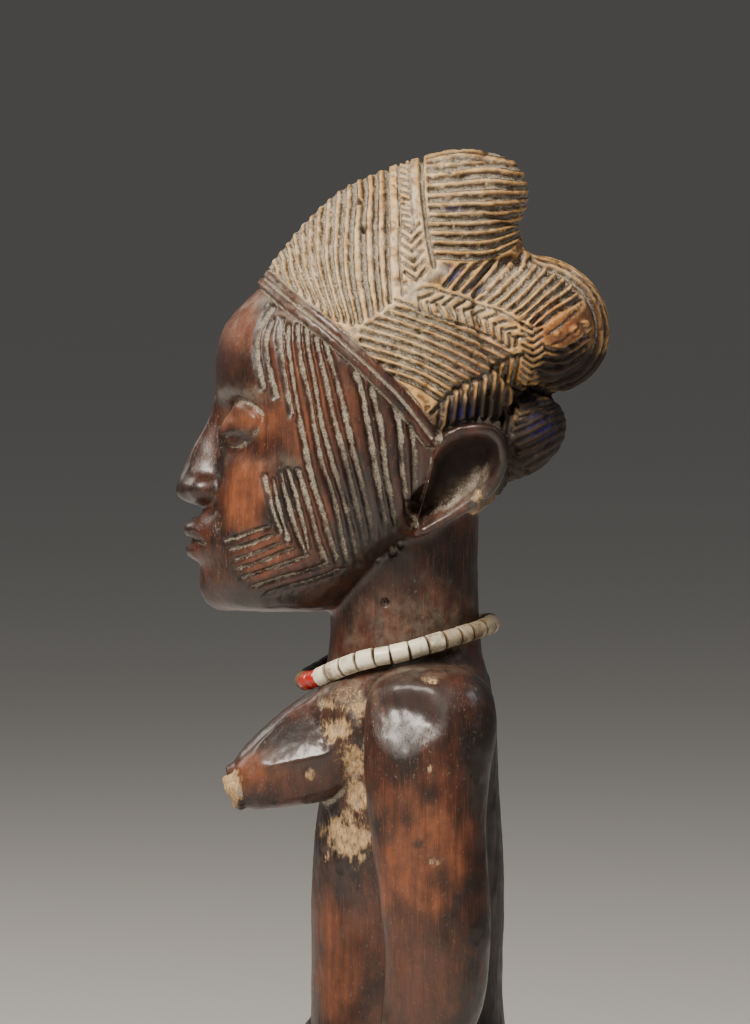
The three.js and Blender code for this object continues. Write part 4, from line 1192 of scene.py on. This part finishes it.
# The body's own piece of the neck ends inside the head's, under the beads.
NECK_FOOT = [
    [150, 0, -19, 20, 0, 24, 2.2],
    [155, 0, -19.3, 18.9, 0, 19.8, 2.1],
    [159, 0, -18.3, 18.2, 0, 17.8, 2.1],
    [162, 0, -16.9, 17.6, 0, 16.6, 2.1],
    [166, 0, -15.2, 16.8, 0, 15.3, 2.1],
    [170, 0, -14, 16.3, 0, 13.8, 2.1],
    [174, 0, -12, 15, 0, 12, 2.1],
]
# Each facet has a place, the way it faces and how far it reaches.
FACETS = [
    ([36, -1.6, 150.4], [0.87, -0.25, 0.43], 13), ([17.6, -23.4, 147.4], [0.7, -0.2, 0.68], 14),
    ([20.4, -20, 141], [0.95, -0.05, -0.3], 14),
]
NAVEL = ([0, -20.4, 83], [2.6, 1.6, 2.6])
SPINE_DEPTH = 1.1
TOE_LINES = [[[across, -27], [across + 0.25, -19]] for across in (8.7, 11.4, 13.9, 16.4)]
FINGER_LINES = [
    [[-9.6 + 3.1 * i, 53 + 0.4 * i], [-9.4 + 3.2 * i, 60], [-7.4 + 2.9 * i, 68]] for i in range(1, 4)
]


def carve_body(carving):
    """The fingers, the toes and the groove of the spine."""
    points, half = carving.points, folded(carving.points)
    on_foot = (points[:, 1] < -14) * smoothstep(7.5, 6, points[:, 2]) * smoothstep(0.3, 1, points[:, 2])
    carving.cut([np.array(line) for line in TOE_LINES], 1.3, 1.0, flat=half[:, :2], within=on_foot, dust=0.45)
    on_hand = (half[:, 0] > 24) * smoothstep(72, 69, points[:, 2])
    carving.cut(smooth_lines(FINGER_LINES), 1.3, 0.9, within=on_hand, dust=0.6, taper=0.6)
    spine = SPINE_DEPTH * smoothstep(6, 0, half[:, 0]) * smoothstep(10, 14, points[:, 1])
    carving.rise -= spine * smoothstep(66, 80, points[:, 2]) * smoothstep(158, 146, points[:, 2])


def make_body(settings):
    blank = mesh_of("body", [
        plinth(), *legs(), torso(), form(NECK_FOOT), knob(*NAVEL), *both(breast()), *both(arm()),
    ])
    mesh = fused(blank, 1000 * settings.body_grain, 5)
    points = points_of(mesh)
    shoulders = smoothstep(138, 150, points[:, 2]) * (points[:, 1] > -24)
    hips = smoothstep(20, 40, points[:, 2]) * smoothstep(84, 74, points[:, 2])
    relax(mesh, np.maximum(shoulders, 0.7 * hips), 24)
    points = points_of(mesh)
    for place, facing, reach in FACETS:
        points = pare(points, place, facing, reach)
    set_points(mesh, points)
    carving = Carving(mesh, MASKS)
    above_plinth = smoothstep(0.5, 2.5, carving.points[:, 2])
    carve_body(carving)
    wear(carving, 1000 * settings.tool_depth)
    age(carving)
    carving.rise *= above_plinth
    return finish_carving(mesh, carving, settings.triangles)


# Necklace


def bead_centres():
    """The beads' node names in order round the neck, with their middles in metres."""
    found = []
    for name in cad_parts:
        if name.startswith("bead_"):
            lowest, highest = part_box(name)
            middle = (lowest + highest) / 2
            found.append((math.atan2(middle.x, -middle.y) % (2 * math.pi), name, middle))
    found.sort()
    return [(name, middle) for _, name, middle in found]


def bead_spans(middles):
    """Where each bead starts and ends on the string, so that uneven beads sit close together."""
    random = np.random.default_rng(77)
    closed = np.array([*middles, middles[0]])
    joints = [
        closed[i] + (closed[i + 1] - closed[i]) * random.uniform(0.41, 0.59) for i in range(len(middles))
    ]
    return [(joints[i - 1], joints[i]) for i in range(len(middles))]


BEAD_AROUND, STRAND_AROUND = 32, 8  # points round a bead and round a strand of the string
STRING_STEPS, STRING_TURNS = 12, 2  # to each bead


def bead_mesh(name, settings, start, end, seed, rounding):
    """A short bead with a bore, a little uneven from the maker's hand. Rounding is the least round of its
    ends, as a share of its radius."""
    random = np.random.default_rng(seed)
    axis = Vector(end - start)
    half = 0.5 * axis.length * 0.995
    radius = 0.5 * settings.bead_diameter * random.uniform(0.93, 1.0)
    bore = 0.5 * settings.bead_bore
    fillet = max(random.uniform(0.14, 0.26), rounding) * radius
    profile = [[bore, -half * 0.9], [bore + 0.12 * radius, -half], *rounded_corner(radius, -half, fillet)]
    profile += [[r, -z] for r, z in profile[::-1]]
    turn = turns(BEAD_AROUND)
    squash = 1 - 0.03 * (1 + np.cos(2 * turn + random.uniform(0, 6)))
    slant = random.uniform(-0.06, 0.06, 2) * radius
    rings = []
    for r, z in profile:
        tilt = z + np.sign(z) * (slant[0] * np.cos(turn) + slant[1] * np.sin(turn)) * (r / radius)
        rings.append(np.column_stack([r * squash * np.cos(turn), r * squash * np.sin(turn), tilt]))
    spin = Vector((0, 0, 1)).rotation_difference(axis).to_matrix()
    points = np.vstack(rings) @ np.array(spin).T + (start + end) / 2
    mesh = bpy.data.meshes.new(name)
    mesh.from_pydata(points.tolist(), [], tube(len(profile), BEAD_AROUND, closed=True))
    near_end = [smoothstep(0.74, 1.0, abs(z) / half) for _, z in profile]
    keep_values(mesh, "ends", np.repeat(near_end, BEAD_AROUND))
    keep_values(mesh, "grubby", np.full(len(points), random.uniform(0, 1)))
    return mesh


def string_mesh(settings, centres):
    """Two strands twisted round each other through the beads."""
    loop = np.array([*centres[-1:], *centres, *centres[:2]])
    count = len(centres)
    samples = STRING_STEPS * count
    path = curve_rows(loop, np.linspace(1, count + 1, samples, endpoint=False))
    ahead = np.roll(path, -1, axis=0) - np.roll(path, 1, axis=0)
    ahead /= np.linalg.norm(ahead, axis=1)[:, None]
    across = np.cross(ahead, [0, 0, 1.0])
    across /= np.linalg.norm(across, axis=1)[:, None]
    above = np.cross(across, ahead)
    strand = 0.25 * settings.string_diameter
    turn = turns(STRAND_AROUND)[:, None]
    ring = np.cos(turn) * across[:, None] + np.sin(turn) * above[:, None]
    strands, faces = [], []
    for phase in (0, math.pi):
        twist = np.linspace(0, 2 * math.pi * STRING_TURNS * count, samples, endpoint=False)[:, None] + phase
        centre = path + strand * (np.cos(twist) * across + np.sin(twist) * above)
        faces += tube(samples, STRAND_AROUND, closed=True, start=len(strands) * samples * STRAND_AROUND)
        strands.append(centre[:, None] + strand * ring)
    mesh = bpy.data.meshes.new("string")
    mesh.from_pydata(np.reshape(strands, (-1, 3)).tolist(), [], faces)
    return mesh


# Materials


class Tree:
    """A node tree with short ways to add and link nodes."""

    def __init__(self, tree):
        self.tree = tree

    def add(self, kind, inputs=None, **settings):
        node = self.tree.nodes.new(kind)
        for key, value in settings.items():
            setattr(node, key, value)
        self.feed(node, inputs or {})
        return node

    def feed(self, node, inputs):
        """Sets a node's inputs, or links them to other nodes' outputs."""
        for key, value in inputs.items():
            if isinstance(value, bpy.types.NodeSocket):
                self.tree.links.new(value, node.inputs[key])
            else:
                node.inputs[key].default_value = value

    def maths(self, operation, values, clamp=False):
        """The values joined one after another."""
        result = values[0]
        for value in values[1:]:
            node = self.add("ShaderNodeMath", {0: result, 1: value}, operation=operation, use_clamp=clamp)
            result = node.outputs[0]
        return result

    def times(self, *values, clamp=False):
        return self.maths("MULTIPLY", values, clamp)

    def plus(self, *values, clamp=False):
        return self.maths("ADD", values, clamp)

    def less(self, *values, clamp=False):
        return self.maths("SUBTRACT", values, clamp)

    def most(self, *values):
        return self.maths("MAXIMUM", values)

    def mix(self, share, first, second):
        return self.add("ShaderNodeMix", {0: share, 6: first, 7: second}, data_type="RGBA").outputs[2]

    def band(self, value, low, high, to_low=0.0, to_high=1.0):
        inputs = {"Value": value, "From Min": low, "From Max": high, "To Min": to_low, "To Max": to_high}
        return self.add("ShaderNodeMapRange", inputs).outputs[0]

    def noise(self, scale, detail, roughness, stretch=(1, 1, 1)):
        source = self.add("ShaderNodeTexCoord").outputs["Object"]
        place = self.add("ShaderNodeMapping", {"Vector": source, "Scale": stretch}).outputs[0]
        inputs = {"Vector": place, "Scale": scale, "Detail": detail, "Roughness": roughness}
        return self.add("ShaderNodeTexNoise", inputs).outputs[0]

    def bump(self, height, strength, distance):
        inputs = {"Height": height, "Strength": strength, "Distance": distance}
        return self.add("ShaderNodeBump", inputs).outputs[0]

    def attribute(self, name):
        return self.add("ShaderNodeAttribute", attribute_name=name).outputs["Fac"]

    def group(self, tree, inputs):
        return self.add("ShaderNodeGroup", inputs, node_tree=tree).outputs


def new_group(name, inputs, outputs):
    """An empty node group with named inputs and outputs, or None with the one that is there already."""
    tree = bpy.data.node_groups.get(name)
    if tree:
        return tree, None
    tree = bpy.data.node_groups.new(name, "ShaderNodeTree")
    for socket, value in inputs.items():
        made = tree.interface.new_socket(socket, in_out="INPUT", socket_type="NodeSocketFloat")
        made.default_value = value
    for socket in outputs:
        tree.interface.new_socket(socket, in_out="OUTPUT", socket_type="NodeSocketFloat")
    return tree, Tree(tree)


def grain_group():
    """Long streaks along the trunk, with fine pores."""
    tree, build = new_group(
        "wood grain", {"Streaks": 1.0, "Pores": 1.0}, ["Streak Mask", "Pore Mask", "Height"])
    if build is None:
        return tree
    source = build.add("NodeGroupInput").outputs
    wide = build.noise(620, 4, 0.65, (1, 1, 0.07))
    fine = build.noise(2600, 2, 0.5, (1, 1, 0.05))
    streak = build.times(build.band(wide, 0.36, 0.66), source["Streaks"])
    pore = build.times(build.band(fine, 0.58, 0.7), source["Pores"])
    height = build.less(build.times(streak, 0.4), pore)
    build.add("NodeGroupOutput", {"Streak Mask": streak, "Pore Mask": pore, "Height": height})
    return tree


def dust_group():
    """Dust that has settled in grooves and creases and breaks up at its edges."""
    tree, build = new_group(
        "settled dust", {"Groove": 0.0, "Crease": 0.0, "Amount": 1.0, "Scale": 900.0}, ["Mask", "Speckle"])
    if build is None:
        return tree
    source = build.add("NodeGroupInput").outputs
    speckle = build.noise(source["Scale"], 4, 0.7)
    patchy = build.noise(260, 3, 0.6)
    held = build.most(source["Groove"], source["Crease"])
    broken = build.plus(held, build.less(build.plus(speckle, build.times(patchy, 1.7)), 1.4))
    mask = build.times(build.band(broken, 0.32, 0.72), source["Amount"], clamp=True)
    build.add("NodeGroupOutput", {"Mask": mask, "Speckle": speckle})
    return tree


def new_material(name):
    material = bpy.data.materials.new(name)
    material.use_nodes = True
    material.node_tree.nodes.clear()
    build = Tree(material.node_tree)
    shader = build.add("ShaderNodeBsdfPrincipled")
    build.add("ShaderNodeOutputMaterial", {"Surface": shader.outputs[0]})
    return material, build, shader


def opaque(value, share=1.0):
    """A colour, or a darker share of it, for a node's socket."""
    return (*[share * c for c in value], 1.0)


def wood_material(colours):
    """Dark, handled wood, with golden worn plaits, dust in the carving and bare patches."""
    material, build, shader = new_material("handled wood")
    band, mix, times, plus = build.band, build.mix, build.times, build.plus
    less, most = build.less, build.most
    dust, flank, hair, powdered, raw, soot, warm, matte, indigo, crease, crown = (
        build.attribute(name) for name in MASKS)
    dark = opaque(colours.dark)
    grain = build.group(grain_group(), {"Streaks": 1.0, "Pores": 1.0})
    settled = build.group(dust_group(), {"Groove": dust, "Crease": crease, "Amount": 1.0, "Scale": 1700.0})
    mottle = build.noise(110, 8, 0.72, (1, 1, 0.5))
    blotch = build.noise(420, 4, 0.65)
    fibre = build.noise(1500, 4, 0.75, (1, 1, 0.4))
    grit = build.noise(3600, 3, 0.7)
    specks = band(build.noise(2100, 2, 0.6, (1, 1, 0.6)), 0.64, 0.7, 0.0, 0.3)

    tone = mix(band(mottle, 0.4, 0.62), dark, opaque(colours.polished))
    tone = mix(times(warm, band(blotch, 0.25, 0.6, 0.5, 1.0)), tone, opaque(colours.warm))
    tone = mix(times(grain["Streak Mask"], band(hair, 0.0, 1.0, 0.5, 0.3)), tone, dark)
    tone = mix(times(grain["Pore Mask"], 0.22), tone, opaque(colours.warm))
    # Soot, dark patina and painted shade darken the wood.
    tone = mix(times(soot, 0.9), tone, dark)

    # The plaits' tops are worn, except where soot or painted shade lies on them, and the grooves' sides are
    # darkened with patina and painted shade.
    worn = times(
        hair, band(crown, 0.0, 0.6, 0.2, 1.0), band(soot, 0.0, 1.0, 1.0, 0.04),
        band(blotch, 0.3, 0.62, 0.35, 1.0))
    tone = mix(worn, tone, mix(warm, opaque(colours.golden), opaque(colours.amber)))
    tone = mix(times(flank, 0.8), tone, dark)

    # Bare wood breaks up at its edges along the fibres.
    ragged = plus(raw, times(less(fibre, 0.5), 2.4))
    bare = times(band(ragged, 0.4, 0.85), band(raw, 0.1, 0.4))
    tone = mix(bare, tone, mix(band(ragged, 0.4, 1.3), opaque(colours.raw, 0.22), opaque(colours.raw)))

    # Powder lies as a film on the plaits, loose dust in the grooves, and neither on soot or painted shade.
    # The film also stays off the painted shadow lines on the grooves' sides.
    clean = band(soot, 0.0, 1.0, 0.95, 0.08)
    film = times(
        powdered, band(blotch, 0.38, 0.62, 0.15, 0.85), band(hair, 0.0, 1.0, 0.3, 1.0),
        band(crown, 0.2, 0.9, 1.0, 0.5), band(flank, 0.3, 1.0, 1.0, 0.12), clean)
    loose = times(most(settled["Mask"], specks), clean)
    powder = most(loose, film)
    tone = mix(film, tone, opaque(colours.powder))
    tone = mix(loose, tone, mix(band(grit, 0.42, 0.55), opaque(colours.dust, 0.22), opaque(colours.dust)))
    tone = mix(times(indigo, band(crown, 0.1, 0.5, 0.6, 0.0)), tone, opaque(colours.indigo))

    rough = less(band(mottle, 0.3, 0.7, 0.48, 0.34), times(worn, 0.1))
    rough = plus(rough, times(warm, 0.12), times(most(powder, matte), 0.4))
    rough = plus(rough, times(bare, 0.4), clamp=True)
    polish = less(1.0, most(bare, matte, hair), clamp=True)
    shine = times(less(1.0, powder, clamp=True), band(soot, 0.0, 0.8, 0.18, 0.5), polish)
    height = plus(
        grain["Height"], times(settled["Speckle"], powder), times(blotch, 0.25), times(fibre, bare, 4.0))
    build.feed(shader, {
        "Base Color": tone, "Roughness": rough, "Coat Weight": shine,
        "Normal": build.bump(height, 0.3, 0.0002), "Coat Roughness": 0.2, "Specular IOR Level": 0.4,
    })
    return material


def glass_material(name, base, gloss, dirt, dust_colour):
    """Old bead glass with dirt round its ends."""
    material, build, shader = new_material(name)
    cloud = build.noise(500, 4, 0.6)
    grubby = build.attribute("grubby")
    soiled = build.plus(build.times(grubby, 0.3), 0.3)
    settled = build.group(dust_group(), {
        "Groove": build.attribute("ends"), "Crease": soiled, "Amount": dirt, "Scale": 700.0,
    })
    faded = build.plus(build.band(cloud, 0.35, 0.7, 0.0, 0.35), build.times(grubby, 0.35))
    tone = build.mix(faded, opaque(base), opaque(base, 0.62))
    build.feed(shader, {
        "Base Color": build.mix(settled["Mask"], tone, opaque(dust_colour)),
        "Roughness": build.plus(build.times(settled["Mask"], 0.4), gloss, clamp=True),
        "Normal": build.bump(cloud, 0.2, 0.0001),
    })
    return material


def string_material(colours):
    material, build, shader = new_material("plant fibre")
    fibre = build.noise(3000, 3, 0.6)
    tone = build.mix(build.band(fibre, 0.3, 0.7), opaque(colours.string, 0.4), opaque(colours.string))
    build.feed(shader, {"Base Color": tone, "Normal": build.bump(fibre, 0.5, 0.0001), "Roughness": 0.9})
    return material


def floor_material(base):
    material, build, shader = new_material("pale floor")
    cloud = build.band(build.noise(3, 2, 0.5), 0.3, 0.7, 0.0, 0.06)
    tone = build.mix(cloud, opaque(base), opaque(base, 0.8))
    build.feed(shader, {"Base Color": tone, "Roughness": 0.9, "Specular IOR Level": 0})
    return material


def handled_wood():
    return bpy.data.materials.get("handled wood") or wood_material(bpy.context.scene.ibeji_wood)


# Operators


class IBEJI_OT_head(bpy.types.Operator):
    """Carve the head with its coiffure, face, ears and neck"""

    bl_idname = "ibeji.head"
    bl_label = "Head"

    def execute(self, context):
        carved_piece("carved_head", make_head(context.scene.ibeji_carving), handled_wood())
        return {"FINISHED"}


class IBEJI_OT_body(bpy.types.Operator):
    """Carve the body with its arms and legs and the plinth"""

    bl_idname = "ibeji.body"
    bl_label = "Body"

    def execute(self, context):
        carved_piece("carved_body", make_body(context.scene.ibeji_carving), handled_wood())
        return {"FINISHED"}


# Kinds of bead as [material, slot, least roughness, dirt, least rounding of the ends]
GLASS = {
    "white": ["white glass", "white_glass", 0.3, 0.8, 0],
    "stained": ["stained glass", "white_glass", 0.5, 1.0, 0],
    "red": ["red glass", "red_glass", 0.25, 0.5, 0.55],
    "brown": ["brown clay", "brown_bead", 0.6, 0.8, 0.5],
    "dark": ["dark glass", "dark_glass", 0.3, 0.5, 0],
}
FIRST_BEAD_SEED = 100
STAINED_BEHIND = 0.009  # metres behind the neck's middle, from where the white beads are dirtier


class IBEJI_OT_beads(bpy.types.Operator):
    """Thread the beads round the neck"""

    bl_idname = "ibeji.beads"
    bl_label = "Beads"

    def execute(self, context):
        settings = context.scene.ibeji_necklace
        materials = {
            kind: glass_material(title, getattr(settings, kind), gloss, dirt, settings.grime)
            for kind, (title, _, gloss, dirt, _) in GLASS.items()
        }
        placed = bead_centres()
        spans = bead_spans([tuple(middle) for _, middle in placed])
        for i, ((name, middle), (start, end)) in enumerate(zip(placed, spans)):
            kind = name.split("_")[1]
            if kind == "white" and middle.y > STAINED_BEHIND:
                kind = "stained"
            _, slot, _, _, rounding = GLASS[kind]
            mesh = bead_mesh(name, settings, start, end, FIRST_BEAD_SEED + i, rounding)
            piece(name + "_glass", mesh, materials[kind], name)
        return {"FINISHED"}


class IBEJI_OT_string(bpy.types.Operator):
    """Twist the string that the beads hang on"""

    bl_idname = "ibeji.string"
    bl_label = "String"

    def execute(self, context):
        settings = context.scene.ibeji_necklace
        mesh = string_mesh(settings, [tuple(middle) for _, middle in bead_centres()])
        piece("twisted_string", mesh, string_material(settings), "necklace_string")
        return {"FINISHED"}


# Lights as [name, azimuth, elevation, distance, size, share of the key's power, colour]
LIGHTS = [
    ["key", 58, 47, 1.0, 0.42, 1.0, "fff6ea"],
    ["fill", 75, 8, 1.6, 1.2, 0.07, "fff2e4"],
    ["rim", 168, 40, 1.0, 0.25, 0.08, "f4f6ff"],
    ["far rim", 320, 30, 1.2, 0.5, 0.16, "fff6ea"],
]
PHOTO_PX_PER_MM = 4.6
PHOTO_MIDDLE = [0, -6.5, 206.3]  # what lies in the middle of the picture, in millimetres
PICTURE_HEIGHT_PX = 1024
VIEW_AZIMUTH, VIEW_ELEVATION = 90, 3
FLOOR_REACH = 40
NEAREST_SEEN = 0.05


def aim(name, data, distance, azimuth, elevation):
    """Hangs a lamp or a camera that looks at the middle of the picture. Azimuth 0 is in front of the figure
    and 90 on its left side."""
    a, e = math.radians(azimuth), math.radians(elevation)
    way = Vector((math.sin(a) * math.cos(e), -math.cos(a) * math.cos(e), math.sin(e)))
    aimed = bpy.data.objects.new(name, data)
    aimed.location = Vector(PHOTO_MIDDLE) / 1000 + distance * way
    aimed.rotation_euler = (-way).to_track_quat("-Z", "Y").to_euler()
    bpy.context.scene.collection.objects.link(aimed)
    return aimed


def floor_mesh():
    mesh = bpy.data.meshes.new("floor")
    corners = [(FLOOR_REACH * x, FLOOR_REACH * y, 0) for x, y in ((-1, -1), (1, -1), (1, 1), (-1, 1))]
    mesh.from_pydata(corners, [], [(0, 1, 2, 3)])
    return mesh


def studio_world(settings):
    """Even light from all round. Seen straight, it has the tone of the far floor, so no horizon shows."""
    world = bpy.data.worlds.new("studio")
    world.use_nodes = True
    world.node_tree.nodes.clear()
    build = Tree(world.node_tree)
    seen = build.add("ShaderNodeLightPath").outputs["Is Camera Ray"]
    tone = build.mix(seen, opaque([settings.ambience] * 3), opaque(settings.floor, settings.ambience))
    sky = build.add("ShaderNodeBackground", {"Color": tone})
    build.add("ShaderNodeOutputWorld", {"Surface": sky.outputs[0]})
    return world


class IBEJI_OT_stage(bpy.types.Operator):
    """Lay the floor, hang the lights and set up the camera"""

    bl_idname = "ibeji.stage"
    bl_label = "Stage"

    def execute(self, context):
        scene, settings = context.scene, context.scene.ibeji_stage
        floor = bpy.data.objects.new("floor", floor_mesh())
        floor.data.materials.append(floor_material(settings.floor))
        scene.collection.objects.link(floor)
        for name, azimuth, elevation, distance, size, share, code in LIGHTS:
            light = bpy.data.lights.new(name, "AREA")
            light.energy = settings.key_power * share
            light.size = size
            light.color = linear(code)
            aim(name, light, distance, azimuth, elevation)
        scene.world = studio_world(settings)

        lens = bpy.data.cameras.new("camera")
        shown = PICTURE_HEIGHT_PX / PHOTO_PX_PER_MM / 1000
        lens.lens = lens.sensor_width * settings.view_distance / shown
        lens.clip_start = NEAREST_SEEN
        scene.camera = aim("camera", lens, settings.view_distance, VIEW_AZIMUTH, VIEW_ELEVATION)
        return {"FINISHED"}


OPERATORS = [IBEJI_OT_head, IBEJI_OT_body, IBEJI_OT_string, IBEJI_OT_beads, IBEJI_OT_stage]


class IBEJI_PT_panel(bpy.types.Panel):
    bl_idname = "IBEJI_PT_panel"
    bl_label = "Ibeji figure"
    bl_space_type = "VIEW_3D"
    bl_region_type = "UI"
    bl_category = "Ibeji"

    def draw(self, context):
        for name in SETTINGS:
            box = self.layout.box()
            settings = getattr(context.scene, name)
            for key in settings.__annotations__:
                box.prop(settings, key)
        for operator in OPERATORS:
            self.layout.operator(operator.bl_idname)


SETTINGS = {
    "ibeji_carving": IBEJI_PG_carving,
    "ibeji_wood": IBEJI_PG_wood,
    "ibeji_necklace": IBEJI_PG_necklace,
    "ibeji_stage": IBEJI_PG_stage,
}


def register():
    for shown_class in (*SETTINGS.values(), *OPERATORS, IBEJI_PT_panel):
        bpy.utils.register_class(shown_class)
    for name, kind in SETTINGS.items():
        setattr(bpy.types.Scene, name, bpy.props.PointerProperty(type=kind))


def unregister():
    for name in SETTINGS:
        delattr(bpy.types.Scene, name)
    for shown_class in (IBEJI_PT_panel, *OPERATORS[::-1], *list(SETTINGS.values())[::-1]):
        bpy.utils.unregister_class(shown_class)


def main():
    register()
    bpy.ops.ibeji.head()
    bpy.ops.ibeji.body()
    bpy.ops.ibeji.string()
    bpy.ops.ibeji.beads()
    bpy.ops.ibeji.stage()


if __name__ == "__main__":
    main()
